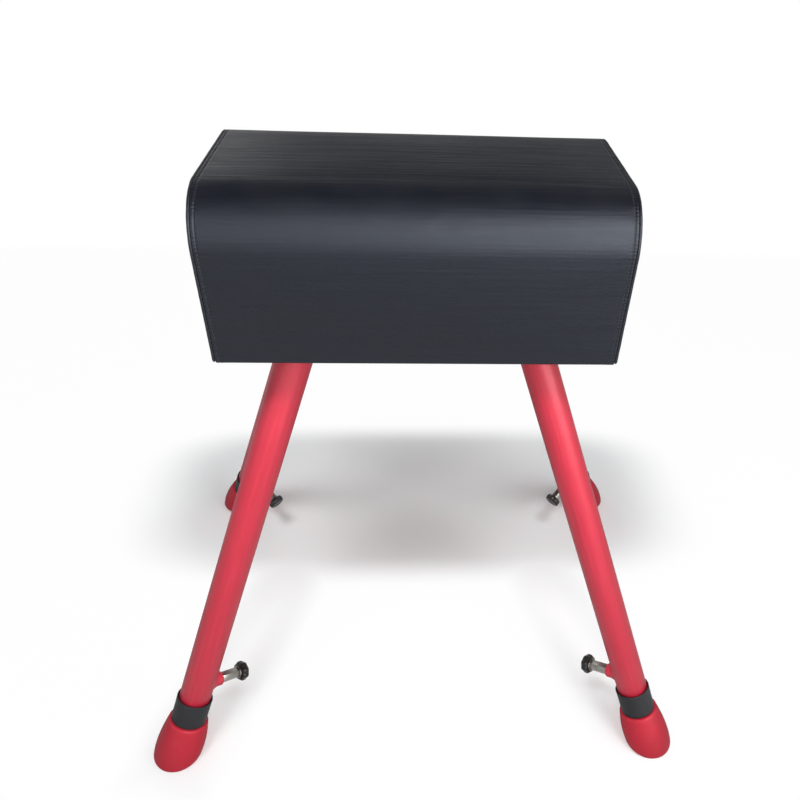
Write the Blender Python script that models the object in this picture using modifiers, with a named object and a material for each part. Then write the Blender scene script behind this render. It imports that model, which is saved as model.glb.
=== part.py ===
"""Vaulting buck: a leather-covered padded head on four splayed telescopic legs.

Units are metres. +X runs along the head, +Y away from the front, +Z up. The origin lies on the floor
below the middle of the head. Each leg is built in a frame of its own: local Z runs up the tube from the
point where its axis meets the floor, local X points in towards the middle of the buck and lies in the
vertical plane of the tube, and the tube's parts are placed by their distance from the floor along it.
"""

import math

import bmesh
import bpy
from mathutils import Matrix, Vector

# Clearances
GAP = 0.0003
SOFT_GAP = 0.0006

# Head
STAND_HEIGHT = 0.770
HEAD_LENGTH = 0.596
HEAD_WIDTH = 0.345
HEAD_HEIGHT = 0.243
HEAD_EDGE_RADIUS = 0.076
HEAD_CROWN = 0.003
END_CROWN = 0.003
LEATHER = 0.002
HEM_WIDTH = 0.025
HEM_RADIUS = 0.004
WELT_RADIUS = 0.0025
TOP_FOAM = 0.045
SIDE_FOAM = 0.025
END_FOAM = 0.020
BOARD = 0.018
BASE_BOARD = 0.022
BOARD_EASE = 0.003
BOARD_CORNER = 0.010

# Legs: each tube's axis leaves the underside in from the head's end and side, and meets the floor outside
LEG_INSET_X = 0.119
LEG_INSET_Y = 0.0875
LEG_SPREAD_X = 0.281
LEG_SPREAD_Y = 0.262
LEG_TRAVEL = 0.450
TUBE_OVERLAP = 0.250
OUTER_TUBE_DIAMETER = 0.057
OUTER_TUBE_WALL = 0.0029
INNER_TUBE_WALL = 0.0025
BUSH_WALL = 0.0020
BUSH_LENGTH = 0.040
BUSH_LIP = 0.002
PLUG_HEAD = 0.012
PLUG_SPIGOT = 0.025

# Foot and collar, measured along the tube from the floor
FOOT_LENGTH = 0.081
FOOT_SHOULDER = 0.004
FOOT_CHAMFER = 0.0015
FOOT_RADIUS = 0.0457
FOOT_LEAN = -0.003
FOOT_RIM = 0.008
SOLE_EDGE = 0.002
SOLE_BULGE = 0.0026
SOLE_RADIUS = 0.0415
TUBE_SEAT = 0.030
COLLAR_LENGTH = 0.053
COLLAR_BASE = 0.018
COLLAR_WALL = 0.0022
COLLAR_CLEARANCE = 0.0015
COLLAR_EDGE = 0.001

# Fixing of the legs under the base board
FLANGE_LENGTH = 0.104
FLANGE_WIDTH = 0.083
FLANGE_THICKNESS = 0.006
STUD_BAR = 0.005
STUD_DIAMETER = 0.008
STUD_HOLE_CLEARANCE = 0.0005
STUD_SPACING_X = 0.080
STUD_SPACING_Y = 0.064
STUD_TAIL = 0.012
PLATE_CORNER = 0.008

# Clamp screw on the inner side of each outer tube
CLAMP_HEIGHT = 0.160
PAD_DIAMETER = 0.014
PAD_LENGTH = 0.012
SCREW_DIAMETER = 0.012
SCREW_PITCH = 0.002
CLAMP_TURNS = 3
BOSS_THREAD = 0.0054
BOSS_DIAMETER = 0.027
BOSS_FLARE = 0.035
BOSS_FLARE_HEIGHT = 0.0085
BOSS_EDGE = 0.0015
SHANK_ACROSS_FLATS = 0.019
SHANK_LENGTH = 0.037
SHANK_STANDOFF = 0.001
WASHER_DIAMETER = 0.024
WASHER_THICKNESS = 0.002
SPIGOT_DIAMETER = 0.010
SPIGOT_LENGTH = 0.009
KNOB_DIAMETER = 0.037
KNOB_LENGTH = 0.015
KNOB_FLUTES = 8
KNOB_FLUTE_DEPTH = 0.0016
KNOB_BACK_EDGE = 0.0012
KNOB_BACK_BEVEL = 0.0030
KNOB_BACK_INSET = 0.0030
KNOB_BACK_RADIUS = 0.0120
KNOB_DOME = 0.0050
KNOB_DOME_EDGE = 0.0013
KNOB_DOME_INSET = 0.0045
KNOB_FACE_RADIUS = 0.0095

# Facets of the round pieces and stations of the padded head
TUBE_SIDES = 24
CLAMP_SIDES = 16
STUD_SIDES = 8
FLUTE_POINTS = 4
ARC_STEPS = 8
HEM_STEPS = 3
CORNER_STEPS = 3
FRONT_STEPS = 3
TOP_STEPS = 4
STATIONS = 10
FOOT_STEPS = 4
END_RINGS = (1.0, 0.88, 0.70, 0.45, 0.20)
MERGE = 0.00001

# Sizes that follow from the ones above
HALF_LENGTH = HEAD_LENGTH / 2
HALF_WIDTH = HEAD_WIDTH / 2
HEAD_TOP = STAND_HEIGHT + HEAD_HEIGHT
SKIN = LEATHER + GAP
BASE_BOTTOM = STAND_HEIGHT + SKIN
BASE_TOP = BASE_BOTTOM + BASE_BOARD
CORE_BOTTOM = BASE_TOP + GAP
CORE_HALF_WIDTH = HALF_WIDTH - LEATHER - SOFT_GAP - SIDE_FOAM - GAP
CORE_TOP = HEAD_TOP - LEATHER - SOFT_GAP - TOP_FOAM - GAP
CORE_HALF_LENGTH = HALF_LENGTH - LEATHER - SOFT_GAP - END_FOAM - GAP
COVER_HALF_LENGTH = HALF_LENGTH - 2 * WELT_RADIUS - GAP
PANEL_INSET = 2 * WELT_RADIUS + GAP

LEG_TOP_X = HALF_LENGTH - LEG_INSET_X
LEG_TOP_Y = HALF_WIDTH - LEG_INSET_Y
LEG_FOOT_X = LEG_TOP_X + LEG_SPREAD_X
LEG_FOOT_Y = LEG_TOP_Y + LEG_SPREAD_Y
OUTER_RADIUS = OUTER_TUBE_DIAMETER / 2
OUTER_BORE = OUTER_RADIUS - OUTER_TUBE_WALL
BUSH_OUTER = OUTER_BORE - GAP
BUSH_BORE = BUSH_OUTER - BUSH_WALL
INNER_RADIUS = BUSH_BORE - GAP
INNER_BORE = INNER_RADIUS - INNER_TUBE_WALL
COLLAR_BOTTOM = FOOT_LENGTH + GAP
COLLAR_FLOOR = COLLAR_BOTTOM + COLLAR_BASE
COLLAR_RIM = COLLAR_BOTTOM + COLLAR_LENGTH
COLLAR_BORE = OUTER_RADIUS + COLLAR_CLEARANCE
COLLAR_RADIUS = COLLAR_BORE + COLLAR_WALL
BUSH_BOTTOM = COLLAR_FLOOR + GAP
OUTER_TUBE_BOTTOM = BUSH_BOTTOM + BUSH_LIP + GAP
INNER_TUBE_BOTTOM = TUBE_SEAT + GAP
INNER_TUBE_TOP = INNER_TUBE_BOTTOM + LEG_TRAVEL + TUBE_OVERLAP
FLANGE_TOP = BASE_BOTTOM - GAP
FLANGE_BOTTOM = FLANGE_TOP - FLANGE_THICKNESS

CLAMP_TRAVEL = SCREW_PITCH * CLAMP_TURNS
PAD_RADIUS = PAD_DIAMETER / 2
PAD_FRONT = INNER_RADIUS + GAP
PAD_BACK = PAD_FRONT + PAD_LENGTH
SCREW_TIP = PAD_BACK + GAP
PAD_CHAMBER_END = PAD_BACK + CLAMP_TRAVEL + GAP
BOSS_END = PAD_CHAMBER_END + BOSS_THREAD
SHANK_START = BOSS_END + SHANK_STANDOFF
SHANK_END = SHANK_START + SHANK_LENGTH
WASHER_END = SHANK_END + WASHER_THICKNESS
KNOB_START = WASHER_END + GAP

LEATHER_BLACK = ("leather_black", (0.030, 0.032, 0.036), 0.45, 0.0)
WELT_BLACK = ("welt_black", (0.022, 0.023, 0.026), 0.50, 0.0)
FOAM_CREAM = ("foam_cream", (0.62, 0.55, 0.38), 0.90, 0.0)
PLYWOOD = ("plywood", (0.52, 0.36, 0.20), 0.65, 0.0)
PAINT_RED = ("paint_red", (0.72, 0.045, 0.085), 0.30, 0.0)
FOOT_RED = ("foot_red", (0.58, 0.030, 0.055), 0.38, 0.0)
STEEL = ("steel", (0.60, 0.61, 0.62), 0.28, 1.0)
ZINC_STEEL = ("zinc_steel", (0.45, 0.46, 0.48), 0.40, 1.0)
BRASS = ("brass", (0.70, 0.50, 0.22), 0.35, 1.0)
NYLON = ("nylon", (0.70, 0.69, 0.64), 0.55, 0.0)
RUBBER_BLACK = ("rubber_black", (0.035, 0.038, 0.042), 0.70, 0.0)
KNOB_BLACK = ("knob_black", (0.012, 0.012, 0.013), 0.38, 0.0)


def clear_scene():
    for item in list(bpy.data.objects):
        bpy.data.objects.remove(item, do_unlink=True)


def new_collection(name):
    collection = bpy.data.collections.new(name)
    bpy.context.scene.collection.children.link(collection)
    return collection


def material_for(look):
    name, color, roughness, metallic = look
    if name in bpy.data.materials:
        return bpy.data.materials[name]
    material = bpy.data.materials.new(name)
    material.use_nodes = True
    shader = material.node_tree.nodes["Principled BSDF"]
    shader.inputs["Base Color"].default_value = (*color, 1.0)
    shader.inputs["Roughness"].default_value = roughness
    shader.inputs["Metallic"].default_value = metallic
    material.diffuse_color = (*color, 1.0)
    return material


def smooth(mesh, angle=math.radians(32)):
    mesh.shade_smooth()
    mesh.set_sharp_from_angle(angle=angle)


def place(name, mesh, look, collection, parent=None):
    """Add one named piece that shows the mesh, moved by its parent only."""
    item = bpy.data.objects.new(name, mesh)
    collection.objects.link(item)
    if not mesh.materials:
        mesh.materials.append(material_for(look))
    item.parent = parent
    return item


def frame_empty(name, matrix, collection, parent=None):
    """Add an empty whose own matrix is given relative to its parent."""
    empty = bpy.data.objects.new(name, None)
    empty.empty_display_size = 0.05
    collection.objects.link(empty)
    empty.parent = parent
    empty.matrix_basis = matrix
    return empty


def mesh_from(builder, name):
    mesh = bpy.data.meshes.new(name)
    builder.to_mesh(mesh)
    builder.free()
    smooth(mesh)
    return mesh


def baked(item, name):
    """Turn an object with modifiers into a plain mesh and remove the object."""
    bpy.context.view_layer.update()
    evaluated = item.evaluated_get(bpy.context.evaluated_depsgraph_get())
    mesh = bpy.data.meshes.new_from_object(evaluated)
    mesh.name = name
    bpy.data.objects.remove(item, do_unlink=True)
    smooth(mesh)
    return mesh


def scratch_object(name, mesh):
    item = bpy.data.objects.new(name, mesh)
    bpy.context.scene.collection.objects.link(item)
    return item


def turned(name, profile, sides, closed):
    """Turn a profile of (radius, height) points round Z; it runs down its outer side."""
    mesh = bpy.data.meshes.new(name)
    points = [(radius, 0.0, height) for radius, height in profile]
    edges = [(i, i + 1) for i in range(len(points) - 1)]
    if closed:
        edges.append((len(points) - 1, 0))
    mesh.from_pydata(points, edges, [])
    item = scratch_object(name, mesh)
    screw = item.modifiers.new("turn", "SCREW")
    screw.axis = "Z"
    screw.angle = math.tau
    screw.steps = sides
    screw.render_steps = sides
    screw.use_merge_vertices = True
    screw.merge_threshold = MERGE
    return baked(item, name)


def tube(name, outer, bore, low, high, sides=TUBE_SIDES):
    return turned(name, [(outer, high), (outer, low), (bore, low), (bore, high)], sides, True)


def cylinder(name, radius, depth, sides, matrix):
    builder = bmesh.new()
    bmesh.ops.create_cone(
        builder,
        cap_ends=True,
        segments=sides,
        radius1=radius,
        radius2=radius,
        depth=depth,
        matrix=matrix,
    )
    return mesh_from(builder, name)


def box_builder(low, high):
    low = Vector(low)
    high = Vector(high)
    builder = bmesh.new()
    bmesh.ops.create_cube(builder, size=1.0, matrix=Matrix.Translation((0.5, 0.5, 0.5)))
    for vert in builder.verts:
        vert.co = low + vert.co * (high - low)
    return builder


def box(name, low, high):
    return mesh_from(box_builder(low, high), name)


def bevel(builder, edges, width, segments):
    bmesh.ops.bevel(
        builder,
        geom=edges,
        offset=width,
        segments=segments,
        profile=0.5,
        affect="EDGES",
        material=-1,
    )


def plate(name, length, width, low, high, corner, ease=0.0):
    """A level plate about the Z axis, its upright corners rounded and its faces' edges eased."""
    builder = box_builder((-length / 2, -width / 2, low), (length / 2, width / 2, high))
    edges = list(builder.edges)
    bevel(builder, [edge for edge in edges if not is_level(edge)], corner, CORNER_STEPS)
    if ease:
        bevel(builder, [edge for edge in builder.edges if is_level(edge)], ease, 1)
    return mesh_from(builder, name)


def is_level(edge):
    return abs(edge.verts[0].co.z - edge.verts[1].co.z) < MERGE


def combined(mesh, tools, operation, name):
    """Cut the tools out of a mesh, or join them to it, and return the result."""
    item = scratch_object(name, mesh)
    helpers = [scratch_object(name + "_tool", tool) for tool in tools]
    for helper in helpers:
        modifier = item.modifiers.new(operation.lower(), "BOOLEAN")
        modifier.operation = operation
        modifier.solver = "EXACT"
        modifier.object = helper
    result = baked(item, name)
    for helper in helpers:
        bpy.data.objects.remove(helper, do_unlink=True)
    return result


def ring_loft(name, rings):
    """Skin closed rings of equally many points, first to last, and cap both ends."""
    builder = bmesh.new()
    loops = [[builder.verts.new(point) for point in ring] for ring in rings]
    count = len(rings[0])
    for lower, upper in zip(loops, loops[1:]):
        for i in range(count):
            j = (i + 1) % count
            builder.faces.new((lower[i], lower[j], upper[j], upper[i]))
    builder.faces.new(list(reversed(loops[0])))
    builder.faces.new(loops[-1])
    bmesh.ops.recalc_face_normals(builder, faces=builder.faces)
    return mesh_from(builder, name)


def thickened(name, builder, thickness):
    """Give an open surface a thickness on the side away from its normals."""
    item = scratch_object(name, mesh_from(builder, name))
    solid = item.modifiers.new("thickness", "SOLIDIFY")
    solid.thickness = thickness
    solid.offset = -1.0
    solid.use_even_offset = True
    return baked(item, name)


def steps_between(start, end, steps):
    return [start + (end - start) * i / steps for i in range(steps)]


def head_outline(inset, bottom):
    """Points round the head's section, front hem to rear hem, at an inset from the full section.

    Each point is (y, z, outward y, outward z, distance along the full section)."""
    radius = HEAD_EDGE_RADIUS
    straight = HEAD_HEIGHT - radius
    across = HEAD_WIDTH - 2 * radius
    points = []
    for z in steps_between(bottom, HEAD_TOP - radius, FRONT_STEPS):
        points.append((-HALF_WIDTH + inset, z, -1.0, 0.0, z - STAND_HEIGHT))
    for i in range(ARC_STEPS + 1):
        angle = math.pi / 2 * i / ARC_STEPS
        out_y = -math.cos(angle)
        out_z = math.sin(angle)
        y = -HALF_WIDTH + radius + (radius - inset) * out_y
        z = HEAD_TOP - radius + (radius - inset) * out_z
        points.append((y, z, out_y, out_z, straight + radius * angle))
    quarter = straight + radius * math.pi / 2
    for i in range(1, TOP_STEPS // 2):
        y = across * i / TOP_STEPS
        points.append((y - across / 2, HEAD_TOP - inset, 0.0, 1.0, quarter + y))
    whole = 2 * quarter + across
    middle = [(0.0, HEAD_TOP - inset, 0.0, 1.0, whole / 2)]
    rear = [(-y, z, -out_y, out_z, whole - along) for y, z, out_y, out_z, along in reversed(points)]
    return points + middle + rear


def section_length():
    straight = 2 * (HEAD_HEIGHT - HEAD_EDGE_RADIUS) + HEAD_WIDTH - 2 * HEAD_EDGE_RADIUS
    return straight + math.pi * HEAD_EDGE_RADIUS


def crowned(x, point):
    """Move a section point outward by the crown, which fades at the ends and at the hems."""
    y, z, out_y, out_z, along = point
    fade = 1.0 - min(1.0, abs(x) / HALF_LENGTH) ** 4
    rise = HEAD_CROWN * fade * math.sin(math.pi * along / section_length())
    return (x, y + out_y * rise, z + out_z * rise)


def stations(half_length):
    return [half_length * (2 * i / STATIONS - 1) for i in range(STATIONS + 1)]


def leather_cover():
    """The strip over front, top and rear, with its hems turned in below the base board."""
    body = head_outline(0.0, STAND_HEIGHT + HEM_RADIUS)
    hem = [(-HALF_WIDTH + HEM_WIDTH, STAND_HEIGHT, 0.0, -1.0, 0.0)]
    for i in range(HEM_STEPS):
        angle = math.pi / 2 * i / HEM_STEPS
        y = -HALF_WIDTH + HEM_RADIUS - HEM_RADIUS * math.sin(angle)
        z = STAND_HEIGHT + HEM_RADIUS - HEM_RADIUS * math.cos(angle)
        hem.append((y, z, -1.0, 0.0, 0.0))
    mirrored = [(-y, z, -out_y, out_z, along) for y, z, out_y, out_z, along in reversed(hem)]
    section = hem + body + mirrored
    builder = bmesh.new()
    rows = []
    for x in stations(COVER_HALF_LENGTH):
        rows.append([builder.verts.new(crowned(x, point)) for point in section])
    for left, right in zip(rows, rows[1:]):
        for i in range(len(section) - 1):
            builder.faces.new((left[i], right[i], right[i + 1], left[i + 1]))
    return thickened("leather_cover", builder, LEATHER)


def foam_padding():
    """The padding over the wooden core, a bridge-shaped section drawn along the head."""
    inset = LEATHER + SOFT_GAP
    outer = head_outline(inset, CORE_BOTTOM)
    half = CORE_HALF_WIDTH + GAP
    top = CORE_TOP + GAP
    corners = ((half, CORE_BOTTOM), (half, top), (-half, top), (-half, CORE_BOTTOM))
    inner = [(y, z, 0.0, 0.0, 0.0) for y, z in corners]
    rings = [[crowned(x, point) for point in outer + inner] for x in stations(CORE_HALF_LENGTH)]
    return ring_loft("foam_padding", rings)


def end_bulge(y, z):
    """How far an end stands out at a point of its face."""
    across = 1.0 - min(1.0, abs(y) / HALF_WIDTH) ** 2
    middle = STAND_HEIGHT + HEAD_HEIGHT / 2
    up = 1.0 - min(1.0, abs(z - middle) / (HEAD_HEIGHT / 2)) ** 2
    return END_CROWN * math.sqrt(across * up)


def end_face_rings(inset, bottom, x, side, across_points):
    """Rings of an end face, its outline first, each drawn in towards the middle of the face."""
    outline = [(y, z) for y, z, _, _, _ in head_outline(inset, bottom)]
    outline += [(y, bottom) for y in across_points]
    middle = (0.0, (bottom + HEAD_TOP) / 2)
    rings = []
    for share in END_RINGS:
        ring = []
        for y, z in outline:
            ring_y = middle[0] + share * (y - middle[0])
            ring_z = middle[1] + share * (z - middle[1])
            ring.append((side * (x + end_bulge(ring_y, ring_z)), ring_y, ring_z))
        rings.append(ring)
    return rings


def end_panel(side):
    """The end piece of leather, crowned, with a hem turned in below the base board."""
    hem_half = HALF_WIDTH - HEM_WIDTH - GAP
    rings = end_face_rings(PANEL_INSET, STAND_HEIGHT, HALF_LENGTH, side, (hem_half, 0.0, -hem_half))
    builder = bmesh.new()
    loops = [[builder.verts.new(point) for point in ring] for ring in rings]
    count = len(rings[0])
    for outer, inner in zip(loops, loops[1:]):
        for i in range(count):
            j = (i + 1) % count
            builder.faces.new((outer[i], outer[j], inner[j], inner[i]))
    builder.faces.new(loops[-1])
    edge = loops[0][-3:]
    hem_x = side * (HALF_LENGTH - HEM_WIDTH)
    turned_in = [builder.verts.new((hem_x, vert.co.y, vert.co.z)) for vert in edge]
    for i in range(2):
        builder.faces.new((edge[i + 1], edge[i], turned_in[i], turned_in[i + 1]))
    bmesh.ops.recalc_face_normals(builder, faces=builder.faces)
    outward = max(builder.faces, key=lambda face: face.calc_center_median().z)
    if outward.normal.x * side < 0:
        bmesh.ops.reverse_faces(builder, faces=builder.faces)
    return thickened("end_panel", builder, LEATHER)


def end_foam(side):
    """The padding between an end board and its panel."""
    inset = PANEL_INSET + GAP
    face = end_face_rings(inset, CORE_BOTTOM, HALF_LENGTH - LEATHER - SOFT_GAP, side, (0.0,))
    back = [(side * (CORE_HALF_LENGTH + GAP), y, z) for _, y, z in face[0]]
    return ring_loft("end_foam", [back] + face)


def welt(side):
    """The cord sewn into the seam round an end, as a curve with round section."""
    data = bpy.data.curves.new("welt", "CURVE")
    data.dimensions = "3D"
    data.bevel_depth = WELT_RADIUS
    data.bevel_resolution = 1
    data.use_fill_caps = True
    route = head_outline(WELT_RADIUS, STAND_HEIGHT)
    spline = data.splines.new("POLY")
    spline.points.add(len(route) - 1)
    for point, (y, z, _, _, _) in zip(spline.points, route):
        point.co = (side * (HALF_LENGTH - WELT_RADIUS), y, z, 1.0)
    item = bpy.data.objects.new("welt", data)
    bpy.context.scene.collection.objects.link(item)
    mesh = baked(item, "welt")
    builder = bmesh.new()
    builder.from_mesh(mesh)
    bmesh.ops.remove_doubles(builder, verts=builder.verts, dist=MERGE)
    return mesh_from(builder, "welt")


def leg_centres():
    return [(sx * LEG_TOP_X, sy * LEG_TOP_Y) for sx in (-1, 1) for sy in (-1, 1)]


def stud_offsets():
    return [(sx * STUD_SPACING_X / 2, sy * STUD_SPACING_Y / 2) for sx in (-1, 1) for sy in (-1, 1)]


def stud_holes():
    """One mesh of all the holes for the studs through the base board."""
    radius = STUD_DIAMETER / 2 + STUD_HOLE_CLEARANCE
    middle = (BASE_BOTTOM + BASE_TOP) / 2
    builder = bmesh.new()
    for leg_x, leg_y in leg_centres():
        for x, y in stud_offsets():
            bmesh.ops.create_cone(
                builder,
                cap_ends=True,
                segments=STUD_SIDES,
                radius1=radius,
                radius2=radius,
                depth=2 * BASE_BOARD,
                matrix=Matrix.Translation((leg_x + x, leg_y + y, middle)),
            )
    return mesh_from(builder, "stud_holes")


def build_head(parts, cutters):
    place("leather_cover", leather_cover(), LEATHER_BLACK, parts)
    place("foam_padding", foam_padding(), FOAM_CREAM, parts)
    for side, name in ((-1, "left"), (1, "right")):
        place(name + "_end_panel", end_panel(side), LEATHER_BLACK, parts)
        place(name + "_end_foam", end_foam(side), FOAM_CREAM, parts)
        place(name + "_welt", welt(side), WELT_BLACK, parts)

    x = CORE_HALF_LENGTH
    y = CORE_HALF_WIDTH
    roof = CORE_TOP - BOARD
    top = box("core_top_board", (-x, -y, roof), (x, y, CORE_TOP))
    place("core_top_board", top, PLYWOOD, parts)
    for side, name in ((-1, "core_left_board"), (1, "core_right_board")):
        near, far = sorted((side * (x - BOARD), side * x))
        board = box(name, (near, -y, CORE_BOTTOM), (far, y, roof - GAP))
        place(name, board, PLYWOOD, parts)
    inner_x = x - BOARD - GAP
    for side, name in ((-1, "core_front_board"), (1, "core_rear_board")):
        near, far = sorted((side * (y - BOARD), side * y))
        board = box(name, (-inner_x, near, CORE_BOTTOM), (inner_x, far, roof - GAP))
        place(name, board, PLYWOOD, parts)

    length = HEAD_LENGTH - 2 * SKIN
    width = HEAD_WIDTH - 2 * SKIN
    base = plate("base_board", length, width, BASE_BOTTOM, BASE_TOP, BOARD_CORNER, BOARD_EASE)
    board = place("base_board", base, PLYWOOD, parts)
    cutter = bpy.data.objects.new("stud_holes", stud_holes())
    cutters.objects.link(cutter)
    cutter.hide_render = True
    cutter.display_type = "WIRE"
    holes = board.modifiers.new("stud_holes", "BOOLEAN")
    holes.operation = "DIFFERENCE"
    holes.solver = "EXACT"
    holes.object = cutter


def leg_frame(side_x, side_y):
    """A leg's frame: origin on the floor, Z up the tube, X inward in the tube's vertical plane."""
    top = Vector((side_x * LEG_TOP_X, side_y * LEG_TOP_Y, STAND_HEIGHT))
    foot = Vector((side_x * LEG_FOOT_X, side_y * LEG_FOOT_Y, 0.0))
    up = (top - foot).normalized()
    inward = Vector((up.x, up.y, 0.0)).normalized()
    across = (inward - up * inward.dot(up)).normalized()
    third = up.cross(across)
    matrix = Matrix((across, third, up)).transposed().to_4x4()
    matrix.translation = foot
    return matrix


def splay():
    """The angle between a tube and the vertical."""
    return math.atan2(math.hypot(LEG_SPREAD_X, LEG_SPREAD_Y), STAND_HEIGHT)


def clamp_turn():
    """Turns Z to the clamp's direction and lifts it to the clamp's height on the tube."""
    return Matrix.Translation((0.0, 0.0, CLAMP_HEIGHT)) @ Matrix.Rotation(math.pi / 2, 4, "Y")


def tube_cutter(radius):
    """A cylinder on the tube's axis, in the clamp's frame."""
    turn = Matrix.Rotation(math.pi / 2, 4, "Y")
    return cylinder("tube_cutter", radius, 6 * OUTER_TUBE_DIAMETER, TUBE_SIDES, turn)


def outer_tube_mesh():
    """The fixed tube, cut level at its top and bored for the clamp pad."""
    slope = splay()
    reach = FLANGE_BOTTOM / math.cos(slope) + 2 * OUTER_TUBE_DIAMETER
    blank = tube("outer_tube", OUTER_RADIUS, OUTER_BORE, OUTER_TUBE_BOTTOM, reach)
    size = 4 * OUTER_TUBE_DIAMETER
    lid = box("lid", (-size, -size, 0.0), (size, size, size))
    level = (FLANGE_BOTTOM - GAP) / math.cos(slope)
    lid.transform(Matrix.Translation((0.0, 0.0, level)) @ Matrix.Rotation(slope, 4, "Y").inverted())
    hole_turn = clamp_turn() @ Matrix.Translation((0.0, 0.0, OUTER_RADIUS))
    hole = cylinder("pad_hole", PAD_RADIUS + GAP, OUTER_RADIUS, CLAMP_SIDES, hole_turn)
    return combined(blank, [lid, hole], "DIFFERENCE", "outer_tube")


def guide_bush_mesh():
    lip = OUTER_RADIUS - GAP
    low = BUSH_BOTTOM
    shelf = BUSH_BOTTOM + BUSH_LIP
    high = OUTER_TUBE_BOTTOM + BUSH_LENGTH
    profile = [
        (BUSH_OUTER, high),
        (BUSH_OUTER, shelf),
        (lip, shelf),
        (lip, low),
        (BUSH_BORE, low),
        (BUSH_BORE, high),
    ]
    return turned("guide_bush", profile, TUBE_SIDES, True)


def guide_plug_mesh():
    """A plug on the inner tube's end, with a head that slides in the outer tube."""
    head = OUTER_BORE - GAP
    spigot = INNER_BORE - GAP
    seat = INNER_TUBE_TOP + GAP
    profile = [
        (0.0, seat + PLUG_HEAD),
        (head, seat + PLUG_HEAD),
        (head, seat),
        (spigot, seat),
        (spigot, seat - PLUG_SPIGOT),
        (0.0, seat - PLUG_SPIGOT),
    ]
    return turned("guide_plug", profile, TUBE_SIDES, False)


def collar_mesh():
    """The rubber cup: a thick floor round the inner tube and a thin wall round the outer one."""
    bore = INNER_RADIUS + GAP
    edge = COLLAR_EDGE
    profile = [
        (COLLAR_BORE, COLLAR_RIM),
        (COLLAR_RADIUS - edge, COLLAR_RIM),
        (COLLAR_RADIUS, COLLAR_RIM - edge),
        (COLLAR_RADIUS, COLLAR_BOTTOM + edge),
        (COLLAR_RADIUS - edge, COLLAR_BOTTOM),
        (bore, COLLAR_BOTTOM),
        (bore, COLLAR_FLOOR),
        (COLLAR_BORE, COLLAR_FLOOR),
    ]
    return turned("collar", profile, TUBE_SIDES, True)


def foot_mesh():
    """A hoof whose sections turn from square to the tube at the top to level at the floor."""
    slope = splay()
    top_radius = COLLAR_RADIUS + FOOT_SHOULDER
    rim_height = FOOT_RIM / math.cos(slope)
    sections = [
        (FOOT_LENGTH, top_radius - FOOT_CHAMFER, 0.0, 0.0),
        (FOOT_LENGTH - FOOT_CHAMFER, top_radius, 0.0, 0.0),
    ]
    for step in range(1, FOOT_STEPS + 1):
        share = step / FOOT_STEPS
        eased = math.sin(share * math.pi / 2)
        height = FOOT_LENGTH + share * (rim_height - FOOT_LENGTH)
        radius = top_radius + eased * (FOOT_RADIUS - top_radius)
        sections.append((height, radius, share, FOOT_LEAN * eased))
    sections.append((SOLE_EDGE / math.cos(slope), SOLE_RADIUS + SOLE_BULGE, 1.0, FOOT_LEAN))
    sections.append((0.0, SOLE_RADIUS, 1.0, FOOT_LEAN))
    rings = []
    for height, radius, share, lean in sections:
        tilt = slope * share
        across = Vector((math.cos(tilt), 0.0, math.sin(tilt)))
        level = Vector((math.cos(slope), 0.0, math.sin(slope)))
        centre = Vector((0.0, 0.0, height)) + level * lean
        ring = []
        for i in range(TUBE_SIDES):
            angle = math.tau * i / TUBE_SIDES
            side = Vector((0.0, radius * math.sin(angle), 0.0))
            ring.append(centre + across * (radius * math.cos(angle)) + side)
        rings.append(ring)
    blank = ring_loft("foot", rings)
    depth = FOOT_LENGTH
    socket = cylinder(
        "socket",
        INNER_RADIUS + GAP,
        depth,
        TUBE_SIDES,
        Matrix.Translation((0.0, 0.0, TUBE_SEAT + depth / 2)),
    )
    return combined(blank, [socket], "DIFFERENCE", "foot")


def boss_mesh():
    """The welded boss, flared where it meets the tube, in the clamp's frame."""
    radius = BOSS_DIAMETER / 2
    flare = BOSS_FLARE / 2
    pad_bore = PAD_RADIUS + GAP
    thread = SCREW_DIAMETER / 2 + GAP
    root = OUTER_BORE - PAD_RADIUS
    neck = OUTER_RADIUS + BOSS_FLARE_HEIGHT
    profile = [
        (thread, BOSS_END),
        (radius - BOSS_EDGE, BOSS_END),
        (radius, BOSS_END - BOSS_EDGE),
        (radius, neck),
        ((3 * radius + flare) / 4, (neck + OUTER_RADIUS) / 2),
        (flare, OUTER_RADIUS - BOSS_EDGE),
        (flare, root),
        (pad_bore, root),
        (pad_bore, PAD_CHAMBER_END),
        (thread, PAD_CHAMBER_END),
    ]
    blank = turned("boss", profile, CLAMP_SIDES, True)
    return combined(blank, [tube_cutter(OUTER_RADIUS + GAP)], "DIFFERENCE", "clamp_boss")


def pad_mesh():
    """The clamp pad, hollowed to the inner tube's round, in the clamp's frame."""
    low = math.sqrt(max(PAD_FRONT**2 - PAD_RADIUS**2, 0.0)) - PAD_RADIUS / 2
    middle = (low + PAD_BACK) / 2
    blank = cylinder("pad", PAD_RADIUS, PAD_BACK - low, CLAMP_SIDES, Matrix.Translation((0.0, 0.0, middle)))
    return combined(blank, [tube_cutter(PAD_FRONT)], "DIFFERENCE", "clamp_pad")


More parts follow.
